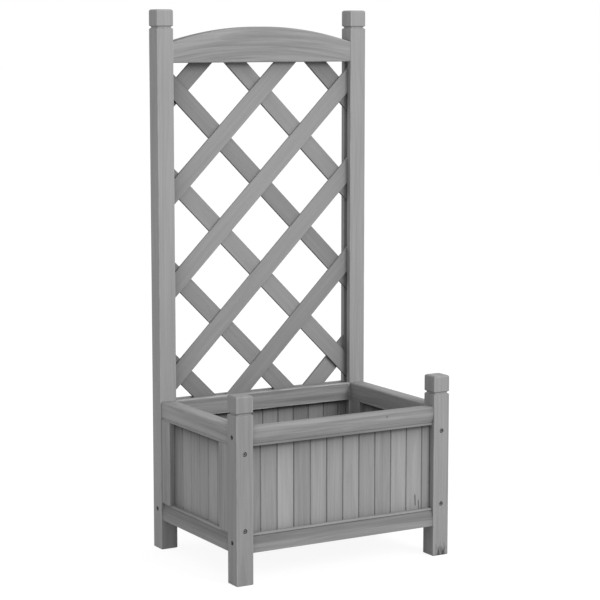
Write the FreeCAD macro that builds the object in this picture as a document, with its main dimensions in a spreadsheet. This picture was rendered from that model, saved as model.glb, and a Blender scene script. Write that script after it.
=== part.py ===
import FreeCAD, Part
import math
import os
import Sketcher

# Planter with trellis: a boarded planting box hung between four square posts. The two rear
# posts run on upwards and carry a diagonal lattice under an arched rail.
#
# Frame: millimetres, +Z up, +X to the right and +Y away, seen from the front panel. The origin
# lies on the ground under the middle of the four posts.

# ---------------------------------------------------------------------------- dimensions

DIMENSIONS = (
    ("overall_width", 400.0, "over the posts, left to right"),
    ("overall_depth", 295.0, "over the posts, front to back"),
    ("overall_height", 900.0, "ground to the tops of the rear posts"),
    ("front_post_height", 303.0, "ground to the tops of the front posts"),
    ("post_side", 30.0, "side of a post's square section"),
    ("post_arris", 1.2, "chamfer along a post's corners and round its foot"),
    ("cap_height", 26.5, "cap block above its groove"),
    ("cap_groove_mouth", 5.0, "height of the groove under a cap, at the surface"),
    ("cap_groove_floor", 1.6, "height of the same groove at its bottom"),
    ("cap_groove_depth", 2.6, "depth of the groove under a cap"),
    ("cap_round", 3.5, "rounding of a cap's top edges"),
    ("rim_drop", 50.5, "tops of the box's top rails below the tops of the front posts"),
    ("skirt_height", 51.0, "ground to the underside of the box's bottom rails"),
    ("rail_height", 30.5, "height of each rail of the box"),
    ("rail_recess", 1.5, "rail faces behind the outer faces of the posts"),
    ("front_rail_depth", 24.0, "front and rear bottom rails and front top rail, face to back"),
    ("side_rail_depth", 27.0, "side rails and stiles, outer face to inner face"),
    ("rail_arris", 1.0, "small chamfer on the rails, stiles and floor pieces"),
    ("rail_front_round", 5.0, "rounding of the front top rail's upper front edge"),
    ("rail_back_round", 8.0, "rounding of the front top rail's upper back edge"),
    ("side_rail_round", 2.5, "rounding of the upper edges of the side and rear top rails"),
    ("moulding_height", 15.0, "moulded band on the front and bottom rails, above its lip"),
    ("moulding_depth", 4.0, "how far the moulded band runs in at its lip"),
    ("quirk_height", 5.0, "small moulded band on the side top rails, above its lip"),
    ("quirk_depth", 1.6, "how far the small band runs in at its lip"),
    ("lip_height", 3.2, "lip between a moulded band and the boards"),
    ("lip_share", 0.5, "set-back of a lip as a share of its band's depth"),
    ("front_stile_width", 32.0, "stile behind a front post, seen from the side"),
    ("rear_stile_width", 30.0, "stile in front of a rear post, seen from the side"),
    ("panel_setback", 11.0, "board faces behind the outer faces of the posts"),
    ("board_thickness", 8.0, "thickness of a board"),
    ("board_vee", 1.3, "chamfer on a board's long edges, two of which make a V joint"),
    ("board_gap", 0.4, "gap between neighbouring boards' edges"),
    ("long_panel_count", 12, "boards in the front panel, and in the rear one"),
    ("left_end_board", 18.6, "ripped board at the left end of those panels, up to its joint"),
    ("right_end_board", 16.4, "ripped board at their right end, up to its joint"),
    ("side_panel_count", 6, "boards in each side panel"),
    ("front_end_board", 22.5, "what shows of a side panel's front board, up to its joint"),
    ("rear_end_board", 28.5, "what shows of a side panel's rear board, up to its joint"),
    ("tongue_length", 4.0, "tongue on a board's edge"),
    ("tongue_thickness", 2.6, "thickness of that tongue"),
    ("housing_depth", 8.0, "groove in rails and stiles that houses the boards"),
    ("fit_play", 0.25, "clearance of a board, tongue or tenon in its groove, each side"),
    ("arch_drop", 87.0, "arched rail's straight underside below the tops of the rear posts"),
    ("arch_end_height", 34.0, "height of the arched rail where it meets the posts"),
    ("arch_rise", 25.3, "rise of the arch from its ends to its crown"),
    ("arch_thickness", 27.0, "arched rail, front to back"),
    ("arch_recess", 1.2, "arched rail behind the front faces of the rear posts"),
    ("arch_round", 2.0, "rounding of the arched rail's long edges"),
    ("slat_width", 30.0, "width of a lattice slat"),
    ("slat_thickness", 5.0, "thickness of a lattice slat"),
    ("slat_arris", 0.6, "chamfer on a slat's long edges"),
    ("slat_count", 6, "lattice slats that rise to the right, and as many that fall"),
    ("corner_offset", 61.0, "corner of the lattice's frame to the nearest slat's middle, upright"),
    ("lattice_housing", 9.0, "groove in posts and rails that houses the lattice"),
    ("lattice_play", 0.3, "clearance of the lattice in its groove, each side"),
    ("cleat_height", 15.0, "floor cleat, bottom to top"),
    ("cleat_depth", 15.0, "floor cleat, front to back"),
    ("cleat_inset", 12.0, "cleat ends short of the posts"),
    ("floor_drop", 14.5, "floor cleats' tops below the tops of the bottom rails"),
    ("floor_thickness", 9.0, "thickness of a floor slat"),
    ("floor_slat_width", 44.0, "width of a floor slat"),
    ("floor_gap", 5.0, "drainage gap between floor slats"),
    ("floor_play", 0.3, "floor slats short of the rails at each end"),
    ("screw_head", 6.2, "diameter of a screw's head"),
    ("screw_head_height", 3.2, "height of a screw's head"),
    ("screw_shank", 4.0, "diameter of a screw's shank"),
    ("screw_length", 46.0, "length of a screw, head and all"),
    ("screw_socket", 3.0, "hexagon socket in the head, across its corners"),
    ("screw_socket_depth", 1.8, "depth of that socket"),
    ("screw_sink", 1.6, "screw heads below the surface of the post"),
    ("screw_play", 0.15, "clearance round a screw in its bore"),
    ("upper_screw_inset", 11.0, "upper screw into a stile below the top rail"),
    ("lower_screw_inset", 6.5, "lower screw into a stile above the bottom rail"),
    ("rail_screw_rise", 17.0, "screw into a bottom rail above the rail's underside"),
)

doc = FreeCAD.newDocument("planter_with_trellis")
sheet = doc.addObject("Spreadsheet::Sheet", "dims")
for row, (alias, number, meaning) in enumerate(DIMENSIONS, start=1):
    sheet.set(f"A{row}", meaning)
    sheet.set(f"B{row}", str(number))
    sheet.setAlias(f"B{row}", alias)
doc.recompute()

# Lengths that follow from the sheet, as expressions on it.
HALF_WIDTH = "(dims.overall_width / 2)"
HALF_DEPTH = "(dims.overall_depth / 2)"
HALF_POST = "(dims.post_side / 2)"
CLEAR_WIDTH = "(dims.overall_width - 2 * dims.post_side)"
CLEAR_DEPTH = "(dims.overall_depth - 2 * dims.post_side)"
RIM_HEIGHT = "(dims.front_post_height - dims.rim_drop)"
TOP_RAIL_FOOT = f"({RIM_HEIGHT} - dims.rail_height)"
BOTTOM_RAIL_TOP = "(dims.skirt_height + dims.rail_height)"
OPENING_HEIGHT = f"({TOP_RAIL_FOOT} - {BOTTOM_RAIL_TOP})"
REAR_RAIL_DEPTH = "(dims.post_side - dims.rail_recess)"
BOARD_FACE = "(dims.panel_setback - dims.rail_recess)"
ARCH_FOOT = "(dims.overall_height - dims.arch_drop)"
LATTICE_MIDDLE = f"({HALF_DEPTH} - {HALF_POST})"
LATTICE_GROOVE = "(2 * dims.slat_thickness + 2 * dims.lattice_play)"
OUTSIDE = "5"  # how far a cutting outline reaches past the surface that it cuts

LEFT, RIGHT = -1, 1
FRONT, REAR = -1, 1
SIDE_NAMES = {LEFT: "left", RIGHT: "right"}
END_NAMES = {FRONT: "front", REAR: "rear"}

finished = []


def value(expression):
    """Return the number that an expression on the sheet gives."""
    return float(sheet.evalExpression(expression))


# ------------------------------------------------------------------------ modelling tools

def new_body(label):
    """Start a body with its own label."""
    body = doc.addObject("PartDesign::Body", label)
    body.Label = label
    return body


def move(piece, x="0", y="0", z="0"):
    """Tie a piece's place to the sheet."""
    piece.setExpression("Placement.Base.x", x)
    piece.setExpression("Placement.Base.y", y)
    piece.setExpression("Placement.Base.z", z)


def new_sketch(body, plane, name):
    """Start a sketch on one of the body's own origin planes."""
    sketch = body.newObject("Sketcher::SketchObject", name)
    role = f"{plane}_Plane"
    origin_plane = [item for item in body.Origin.OriginFeatures if item.Role == role][0]
    sketch.AttachmentSupport = [(origin_plane, "")]
    sketch.MapMode = "FlatFace"
    return sketch


def arc_between(start, end, radius, turn):
    """Return the shorter arc from start to end; turn is 1 for anticlockwise, -1 for clockwise."""
    chord = end - start
    middle = (start + end) * 0.5
    reach = math.sqrt(max(radius * radius - chord.Length * chord.Length / 4, 0.0))
    left = FreeCAD.Vector(-chord.y, chord.x, 0).normalize()
    centre = middle + left * (reach * turn)
    first, last = (start, end) if turn > 0 else (end, start)
    angles = [math.atan2(point.y - centre.y, point.x - centre.x) for point in (first, last)]
    if angles[1] < angles[0]:
        angles[1] += 2 * math.pi
    circle = Part.Circle(centre, FreeCAD.Vector(0, 0, 1), radius)
    return Part.ArcOfCircle(circle, angles[0], angles[1])


def tie(sketch, kind, place, expression):
    """Add one dimension to a sketch and tie it to the sheet."""
    number = sketch.addConstraint(Sketcher.Constraint(kind, *place, value(expression)))
    sketch.setExpression(f"Constraints[{number}]", expression)


def draw(sketch, corners):
    """Draw a closed outline whose corners are tied to the sheet.

    A corner is (x, y), or (x, y, radius, turn) where an arc leads on to the next corner.
    """
    first = sketch.GeometryCount
    count = len(corners)
    points = [FreeCAD.Vector(value(corner[0]), value(corner[1]), 0) for corner in corners]
    backwards = [len(corner) == 4 and corner[3] < 0 for corner in corners]
    for index, corner in enumerate(corners):
        start, end = points[index], points[(index + 1) % count]
        if len(corner) == 4:
            sketch.addGeometry(arc_between(start, end, value(corner[2]), corner[3]))
        else:
            sketch.addGeometry(Part.LineSegment(start, end))
    for index in range(count):
        following = (index + 1) % count
        end_point = 1 if backwards[index] else 2
        start_point = 2 if backwards[following] else 1
        sketch.addConstraint(Sketcher.Constraint(
            "Coincident", first + index, end_point, first + following, start_point))
    for index, corner in enumerate(corners):
        start_point = 2 if backwards[index] else 1
        tie(sketch, "DistanceX", (-1, 1, first + index, start_point), corner[0])
        tie(sketch, "DistanceY", (-1, 1, first + index, start_point), corner[1])
        if len(corner) == 4:
            tie(sketch, "Radius", (first + index,), corner[2])


def flipped(corners, x_sign, y_sign=1):
    """Return an outline mirrored across the sketch's axes as the signs say."""
    turned = []
    for corner in corners:
        place = (f"{x_sign} * ({corner[0]})", f"{y_sign} * ({corner[1]})")
        arc = (corner[2], corner[3] * x_sign * y_sign) if len(corner) == 4 else ()
        turned.append(place + arc)
    return turned


def rectangle(x_low, y_low, x_high, y_high):
    """Return the corners of a plain rectangle."""
    return [(x_low, y_low), (x_high, y_low), (x_high, y_high), (x_low, y_high)]


def pad(body, sketch, length, name, centred=False):
    """Raise a sketch into a solid, upwards or equally both ways."""
    feature = body.newObject("PartDesign::Pad", name)
    feature.Profile = sketch
    feature.setExpression("Length", length)
    feature.Midplane = centred
    sketch.Visibility = False
    return feature


def cut_through(body, sketch, length, name):
    """Cut a sketch right through a body, equally both ways, and check that it cuts."""
    doc.recompute()
    before = body.Shape.Volume
    feature = body.newObject("PartDesign::Pocket", name)
    feature.Profile = sketch
    feature.setExpression("Length", length)
    feature.Midplane = True
    doc.recompute()
    if body.Shape.Volume >= before:
        raise RuntimeError(f"{body.Label}: {name} removes nothing")
    return feature


def chamfer(body, base, edges, size, name):
    """Chamfer the named edges of a feature."""
    feature = body.newObject("PartDesign::Chamfer", name)
    feature.Base = (base, edges)
    feature.setExpression("Size", size)
    return feature


def round_over(body, base, edges, radius, name):
    """Round the named edges of a feature."""
    feature = body.newObject("PartDesign::Fillet", name)
    feature.Base = (base, edges)
    feature.setExpression("Radius", radius)
    return feature


def edges_where(feature, wanted):
    """Return the names of a feature's edges whose box passes a test."""
    doc.recompute()
    names = []
    for index, edge in enumerate(feature.Shape.Edges, start=1):
        if wanted(edge.BoundBox):
            names.append(f"Edge{index}")
    return names


def finish(piece, label):
    """Give a finished piece its label and put it on the list."""
    piece.Label = label
    finished.append(piece)
    return piece


# -------------------------------------------------------------------------------- screws

class Screw:
    """A socket screw and the stepped bore that it sits in.

    The screw is modelled along +Z from the top of its head. Its bore starts at the surface of
    the post and cuts both the post and what the screw holds.
    """

    def __init__(self, name, rotation, x, y, z, inwards):
        """Place a screw at a point of the post's surface; inwards is its unit direction."""
        self.screw = self.make_screw(name)
        self.bore = self.make_bore(name)
        for piece, sink in ((self.screw, "dims.screw_sink"), (self.bore, "0")):
            piece.Placement.Rotation = rotation
            move(piece, *(f"{place} + {step} * ({sink})" for place, step in zip((x, y, z), inwards)))

    @staticmethod
    def cylinder(name, diameter, length, start="0"):
        """Return an upright cylinder from a height, tied to the sheet."""
        rod = doc.addObject("Part::Cylinder", name)
        rod.setExpression("Radius", f"({diameter}) / 2")
        rod.setExpression("Height", length)
        move(rod, z=start)
        return rod

    def make_screw(self, name):
        """Return head and shank in one, with the socket cut out of the head."""
        head = self.cylinder(f"{name}_head", "dims.screw_head", "dims.screw_head_height")
        shank = self.cylinder(f"{name}_shank", "dims.screw_shank", "dims.screw_length")
        solid = doc.addObject("Part::Fuse", f"{name}_solid")
        solid.Base, solid.Tool = head, shank
        socket = doc.addObject("Part::Prism", f"{name}_socket")
        socket.Polygon = 6
        socket.setExpression("Circumradius", "dims.screw_socket / 2")
        socket.setExpression("Height", "dims.screw_socket_depth")
        screw = doc.addObject("Part::Cut", name)
        screw.Base, screw.Tool = solid, socket
        return screw

    def make_bore(self, name):
        """Return the counterbore and the hole for the shank."""
        head_bore = self.cylinder(
            f"{name}_head_bore",
            "dims.screw_head + 2 * dims.screw_play",
            "dims.screw_sink + dims.screw_head_height")
        shank_bore = self.cylinder(
            f"{name}_shank_bore",
            "dims.screw_shank + 2 * dims.screw_play",
            "dims.screw_sink + dims.screw_length + dims.screw_play")
        bore = doc.addObject("Part::Fuse", f"{name}_bore")
        bore.Base, bore.Tool = head_bore, shank_bore
        return bore


def turn(x, y, z, angle):
    """Return a rotation about an axis, in degrees."""
    return FreeCAD.Rotation(FreeCAD.Vector(x, y, z), angle)


def post_place(side, half):
    """Return the expression of a post's middle on one axis."""
    return f"{side} * ({half} - {HALF_POST})"


def make_screws():
    """Return every screw by the face that it is driven through and the post it crosses."""
    screws = {}
    stile_screws = {
        "upper": f"{TOP_RAIL_FOOT} - dims.upper_screw_inset",
        "lower": f"{BOTTOM_RAIL_TOP} + dims.lower_screw_inset",
    }
    for end in (FRONT, REAR):
        for side in (LEFT, RIGHT):
            for level, height in stile_screws.items():
                screws[END_NAMES[end], end, side, level] = Screw(
                    f"{END_NAMES[end]}_{SIDE_NAMES[side]}_{level}_screw",
                    turn(1, 0, 0, 90 * end),
                    post_place(side, HALF_WIDTH), f"{end} * {HALF_DEPTH}", height, (0, -end, 0))
    rail_screws = {
        (FRONT, "upper"): f"{TOP_RAIL_FOOT} + dims.rail_height / 2",
        (FRONT, "lower"): "dims.skirt_height + dims.rail_screw_rise",
        (REAR, "lower"): "dims.skirt_height + dims.rail_screw_rise",
    }
    for side in (LEFT, RIGHT):
        for (end, level), height in rail_screws.items():
            screws["side", end, side, level] = Screw(
                f"{SIDE_NAMES[side]}_{END_NAMES[end]}_{level}_side_screw",
                turn(0, 1, 0, -90 * side),
                f"{side} * {HALF_WIDTH}", post_place(end, HALF_DEPTH), height, (-side, 0, 0))
    return screws


def drilled(piece, bores, label):
    """Return a piece with the bores of its screws cut out of it."""
    tool = doc.addObject("Part::Compound", f"{label}_bores")
    tool.Links = bores
    cut = doc.addObject("Part::Cut", f"{label}_drilled")
    cut.Base, cut.Tool = piece, tool
    return finish(cut, label)


# --------------------------------------------------------------------------------- posts

def cap_outline(height):
    """Return what is cut from one side of a post: the rounded top edge and the cap's groove."""
    face = HALF_POST
    beyond = f"({face} + {OUTSIDE})"
    shoulder = f"({height} - dims.cap_round)"
    inner = f"({face} - dims.cap_round)"
    above = f"({height} + {OUTSIDE})"
    rounding = [
        (inner, height, "dims.cap_round", -1), (face, shoulder),
        (beyond, shoulder), (beyond, above), (inner, above)]
    upper = f"({height} - dims.cap_height)"
    lower = f"({upper} - dims.cap_groove_mouth)"
    ramp = "((dims.cap_groove_mouth - dims.cap_groove_floor) / 2)"
    floor = f"({face} - dims.cap_groove_depth)"
    groove = [
        (face, lower), (beyond, lower), (beyond, upper), (face, upper),
        (floor, f"{upper} - {ramp}"), (floor, f"{lower} + {ramp}")]
    return rounding, groove


def make_post(side, end, height, bores):
    """Build one post, with its cap and, in a rear post, the groove that houses the lattice."""
    label = f"{END_NAMES[end]}_post_{SIDE_NAMES[side]}"
    body = new_body(f"{label}_blank")
    section = new_sketch(body, "XY", "section")
    draw(section, rectangle(f"-{HALF_POST}", f"-{HALF_POST}", HALF_POST, HALF_POST))
    shaft = pad(body, section, height, "shaft")
    top = value(height)
    foot_and_corners = edges_where(shaft, lambda box: box.ZMin < top / 2)
    chamfer(body, shaft, foot_and_corners, "dims.post_arris", "arris")
    for plane in ("XZ", "YZ"):
        cap = new_sketch(body, plane, "cap")
        for outline in cap_outline(height):
            draw(cap, outline)
            draw(cap, flipped(outline, -1))
        cut_through(body, cap, "2 * dims.post_side", "cap_cut")
    if end == REAR:
        groove = new_sketch(body, "XY", "lattice_groove_section")
        low = f"({RIM_HEIGHT} - dims.lattice_housing)"
        high = f"({ARCH_FOOT} + dims.lattice_housing)"
        groove.setExpression("AttachmentOffset.Base.z", f"({low} + {high}) / 2")
        draw(groove, flipped(rectangle(
            f"{HALF_POST} - dims.lattice_housing", f"-{LATTICE_GROOVE} / 2",
            f"{HALF_POST} + {OUTSIDE}", f"{LATTICE_GROOVE} / 2"), -side))
        cut_through(body, groove, f"{high} - {low}", "lattice_groove")
    move(body, post_place(side, HALF_WIDTH), post_place(end, HALF_DEPTH))
    drilled(body, bores, label)


# --------------------------------------------------------------------------------- rails
# A rail's outline is drawn with x inwards from its outer face and y upwards from its underside.

def board_groove():
    """Return the four corners of the groove that houses the boards, from outside to inside."""
    near = f"({BOARD_FACE} - dims.fit_play)"
    far = f"({BOARD_FACE} + dims.board_thickness + dims.fit_play)"
    return [(near, "0"), (near, "dims.housing_depth"), (far, "dims.housing_depth"), (far, "0")]


def moulded_face(height, depth):
    """Return the moulded face above the boards, from where it leaves the flat to its lip.

    The face curves inwards over the band's height, and then a lip stands forward again beside
    the boards.
    """
    lip = f"({depth} * dims.lip_share)"
    return [
        ("0", f"dims.lip_height + {height}", f"({height}^2 + {depth}^2) / (2 * {depth})", 1),
        (depth, "dims.lip_height"),
        (lip, "dims.lip_height"),
        (lip, "0"),
    ]


def top_rail_outline(depth, band_height, band_depth, front_round, back_round):
    """Return the section of a top rail, whose boards stand in its underside."""
    top = "dims.rail_height"
    return moulded_face(band_height, band_depth) + board_groove() + [
        (f"{depth} - dims.rail_arris", "0"),
        (depth, "dims.rail_arris"),
        (depth, f"{top} - {back_round}", back_round, 1),
        (f"{depth} - {back_round}", top),
        (front_round, top, front_round, 1),
        ("0", f"{top} - {front_round}"),
    ]


def bottom_rail_outline(depth):
    """Return the section of a bottom rail: a top rail's moulding upside down."""
    top = "dims.rail_height"
    upright = moulded_face("dims.moulding_height", "dims.moulding_depth") + board_groove() + [
        (f"{depth} - dims.rail_arris", "0"),
        (depth, "dims.rail_arris"),
        (depth, f"{top} - dims.rail_arris"),
        (f"{depth} - dims.rail_arris", top),
        ("dims.rail_arris", top),
        ("0", f"{top} - dims.rail_arris"),
    ]
    turned = flipped(upright, 1, -1)
    return [(x, f"{y} + {top}", *arc) for x, y, *arc in turned]


def make_rail(name, outline, plane, inwards, length):
    """Pad a rail's section along its length, with the length centred on the origin."""
    body = new_body(f"{name}_blank")
    section = new_sketch(body, plane, "section")
    draw(section, flipped(outline, inwards))
    pad(body, section, length, "length", centred=True)
    return body


def make_front_rails(screws):
    """Build the front top rail, and the bottom rails of the front and of the rear."""
    rounds = ("dims.rail_front_round", "dims.rail_back_round")
    outline = top_rail_outline(
        "dims.front_rail_depth", "dims.moulding_height", "dims.moulding_depth", *rounds)
    rail = make_rail("front_top_rail", outline, "YZ", 1, CLEAR_WIDTH)
    move(rail, y=f"-{HALF_DEPTH} + dims.rail_recess", z=TOP_RAIL_FOOT)
    bores = [screws["side", FRONT, side, "upper"].bore for side in (LEFT, RIGHT)]
    drilled(rail, bores, "front_top_rail")
    for end in (FRONT, REAR):
        name = f"{END_NAMES[end]}_bottom_rail"
        outline = bottom_rail_outline("dims.front_rail_depth")
        rail = make_rail(name, outline, "YZ", -end, CLEAR_WIDTH)
        move(rail, y=f"{end} * ({HALF_DEPTH} - dims.rail_recess)", z="dims.skirt_height")
        bores = [screws["side", end, side, "lower"].bore for side in (LEFT, RIGHT)]
        drilled(rail, bores, name)


def make_side_rails(side):
    """Build the top rail and the bottom rail of one side, which run between the posts."""
    rounds = ("dims.side_rail_round", "dims.side_rail_round")
    top = top_rail_outline("dims.side_rail_depth", "dims.quirk_height", "dims.quirk_depth", *rounds)
    bottom = bottom_rail_outline("dims.side_rail_depth")
    for level, outline, height in (("top", top, TOP_RAIL_FOOT), ("bottom", bottom, "dims.skirt_height")):
        name = f"{SIDE_NAMES[side]}_{level}_rail"
        rail = make_rail(name, outline, "XZ", -side, CLEAR_DEPTH)
        move(rail, x=f"{side} * ({HALF_WIDTH} - dims.rail_recess)", z=height)
        finish(rail, name)


def make_rear_top_rail():
    """Build the rear top rail, with the boards in its underside and the lattice in its top."""
    top = "dims.rail_height"
    middle = f"({HALF_POST} - dims.rail_recess)"
    floor = f"({top} - dims.lattice_housing)"
    rounding = "dims.side_rail_round"
    outline = moulded_face("dims.quirk_height", "dims.quirk_depth") + board_groove() + [
        (f"{REAR_RAIL_DEPTH} - dims.rail_arris", "0"),
        (REAR_RAIL_DEPTH, "dims.rail_arris"),
        (REAR_RAIL_DEPTH, f"{top} - {rounding}", rounding, 1),
        (f"{REAR_RAIL_DEPTH} - {rounding}", top),
        (f"{middle} + {LATTICE_GROOVE} / 2", top),
        (f"{middle} + {LATTICE_GROOVE} / 2", floor),
        (f"{middle} - {LATTICE_GROOVE} / 2", floor),
        (f"{middle} - {LATTICE_GROOVE} / 2", top),
        (rounding, top, rounding, 1),
        ("0", f"{top} - {rounding}"),
    ]
    rail = make_rail("rear_top_rail", outline, "YZ", -1, CLEAR_WIDTH)
    move(rail, y=f"{HALF_DEPTH} - dims.rail_recess", z=TOP_RAIL_FOOT)
    finish(rail, "rear_top_rail")


def make_arch_rail():
    """Build the arched rail over the lattice."""
    body = new_body("arch_rail_blank")
    front = new_sketch(body, "XZ", "front")
    half = f"({CLEAR_WIDTH} / 2)"
    radius = f"({half}^2 + dims.arch_rise^2) / (2 * dims.arch_rise)"
    draw(front, [
        (f"-{half}", "0"), (half, "0"),
        (half, "dims.arch_end_height", f"{radius}", 1), (f"-{half}", "dims.arch_end_height")])
    board = pad(body, front, "dims.arch_thickness", "thickness", centred=True)
    long_edges = edges_where(board, lambda box: box.XLength > box.YLength + box.ZLength)
    round_over(body, board, long_edges, "dims.arch_round", "edges")
    groove = new_sketch(body, "YZ", "lattice_groove_section")
    offset = "(dims.arch_recess + dims.arch_thickness / 2 - dims.post_side / 2)"
    draw(groove, rectangle(
        f"-{offset} - {LATTICE_GROOVE} / 2", f"-{OUTSIDE}",
        f"-{offset} + {LATTICE_GROOVE} / 2", "dims.lattice_housing"))
    cut_through(body, groove, f"2 * {CLEAR_WIDTH}", "lattice_groove")
    move(body, y=f"{LATTICE_MIDDLE} + {offset}", z=ARCH_FOOT)
    finish(body, "arch_rail")


# -------------------------------------------------------------------------------- stiles

def make_stile(side, end, screws):
    """Build the stile beside one post, with a stub tenon at each end in the rails' grooves."""
    name = f"{SIDE_NAMES[side]}_{END_NAMES[end]}_stile"
    width = f"dims.{END_NAMES[end]}_stile_width"
    depth = "dims.side_rail_depth"
    arris = "dims.rail_arris"
    near = f"({BOARD_FACE} - dims.fit_play)"
    far = f"({BOARD_FACE} + dims.board_thickness + dims.fit_play)"
    body = new_body(f"{name}_blank")
    section = new_sketch(body, "XY", "section")
    outline = [
        ("0", "0"), (depth, "0"),
        (depth, f"{width} - {arris}"), (f"{depth} - {arris}", width),
        (far, width), (far, f"{width} - dims.housing_depth"),
        (near, f"{width} - dims.housing_depth"), (near, width),
        (arris, width), ("0", f"{width} - {arris}"),
    ]
    draw(section, flipped(outline, -side, -end))
    pad(body, section, OPENING_HEIGHT, "length", centred=True)
    tenons = new_sketch(body, "XY", "tenons")
    draw(tenons, flipped(rectangle(
        f"{BOARD_FACE}", "0",
        f"{BOARD_FACE} + dims.board_thickness", f"{width} - dims.housing_depth"), -side, -end))
    tenon_length = f"{OPENING_HEIGHT} + 2 * (dims.housing_depth - dims.fit_play)"
    pad(body, tenons, tenon_length, "tenon_length", centred=True)
    middle_height = f"({TOP_RAIL_FOOT} + {BOTTOM_RAIL_TOP}) / 2"
    move(body, f"{side} * ({HALF_WIDTH} - dims.rail_recess)", f"{end} * {CLEAR_DEPTH} / 2", middle_height)
    bores = [screws[END_NAMES[end], end, side, level].bore for level in ("upper", "lower")]
    drilled(body, bores, name)


# -------------------------------------------------------------------------------- boards

def board_outline(left, right, has_groove, has_tongue):
    """Return a board's section, with x along the panel and y inwards from its outer face."""
    vee = "dims.board_vee"
    back = "dims.board_thickness"
    middle = "(dims.board_thickness / 2)"
    gap = "(dims.board_gap / 2)"
    start = f"({left} + {gap})" if has_groove else f"({left})"
    stop = f"({right} - {gap})" if has_tongue else f"({right})"
    half_tongue = "(dims.tongue_thickness / 2)"
    half_groove = "(dims.tongue_thickness / 2 + dims.fit_play)"
    outline = [(f"{start} + {vee}", "0"), (f"{stop} - {vee}", "0"), (stop, vee)]
    if has_tongue:
        tip = f"({stop} + dims.tongue_length)"
        outline += [
            (stop, f"{middle} - {half_tongue}"), (tip, f"{middle} - {half_tongue}"),
            (tip, f"{middle} + {half_tongue}"), (stop, f"{middle} + {half_tongue}")]
    outline += [(stop, f"{back} - {vee}"), (f"{stop} - {vee}", back)]
    outline += [(f"{start} + {vee}", back), (start, f"{back} - {vee}")]
    if has_groove:
        bottom = f"({start} + dims.tongue_length + {gap})"
        outline += [
            (start, f"{middle} + {half_groove}"), (bottom, f"{middle} + {half_groove}"),
            (bottom, f"{middle} - {half_groove}"), (start, f"{middle} - {half_groove}")]
    return outline + [(start, vee)]


def make_boards(panel, low, high, first_joint, last_joint, count, place, plane_turn, inwards):
    """Build the boards of one panel, from its left or front end to the other.

    low and high are the panel's ends along its own length, and the first and last joints lie
    between them; place is the panel's own place, plane_turn says that it runs front to back,
    and inwards is the sign of the way to its inner side.
    """
    pitch = f"(({last_joint} - {first_joint}) / ({count} - 2))"
    joints = [f"({first_joint} + {step} * {pitch})" for step in range(int(value(count)) - 1)]
    ends = [low] + joints + [high]
    boards = []
    last = len(ends) - 2
    length = f"{OPENING_HEIGHT} + 2 * (dims.housing_depth - dims.fit_play)"
    for index in range(len(ends) - 1):
        name = f"{panel}_board_{index + 1:02d}"
        body = new_body(f"{name}_blank")
        section = new_sketch(body, "XY", "section")
        outline = board_outline(ends[index], ends[index + 1], index > 0, index < last)
        if plane_turn:
            outline = [(y, x) for x, y in outline]
            outline = flipped(outline, inwards)
        else:
            outline = flipped(outline, 1, inwards)
        draw(section, outline)
        pad(body, section, length, "length")
        move(body, *place, f"{BOTTOM_RAIL_TOP} - dims.housing_depth + dims.fit_play")
        boards.append((body, name))
    return boards


def make_panels():
    """Build the boards of the front, both sides and the rear."""
    half = f"({CLEAR_WIDTH} / 2 - dims.fit_play)"
    face = f"({HALF_DEPTH} - dims.panel_setback)"
    joints = (f"(dims.left_end_board - {CLEAR_WIDTH} / 2)", f"({CLEAR_WIDTH} / 2 - dims.right_end_board)")
    count = "dims.long_panel_count"
    front = make_boards("front", f"-{half}", half, *joints, count, ("0", f"-{face}"), False, 1)
    rear = make_boards("rear", f"-{half}", half, *joints, count, ("0", face), False, -1)
    for body, name in front:
        finish(body, name)
    front_edge = f"(-{CLEAR_DEPTH} / 2 + dims.front_stile_width)"
    rear_edge = f"({CLEAR_DEPTH} / 2 - dims.rear_stile_width)"
    housed = "(dims.housing_depth - dims.fit_play)"
    side_face = f"({HALF_WIDTH} - dims.panel_setback)"
    for side in (LEFT, RIGHT):
        boards = make_boards(
            SIDE_NAMES[side], f"({front_edge} - {housed})", f"({rear_edge} + {housed})",
            f"({front_edge} + dims.front_end_board)", f"({rear_edge} - dims.rear_end_board)",
            "dims.side_panel_count", (f"{side} * {side_face}", "0"), True, -side)
        for body, name in boards:
            finish(body, name)
    panel = doc.addObject("Part::Compound", "rear_panel")
    panel.Links = [body for body, name in rear]
    finish(panel, "rear_boards")


# ------------------------------------------------------------------------------- lattice

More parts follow.
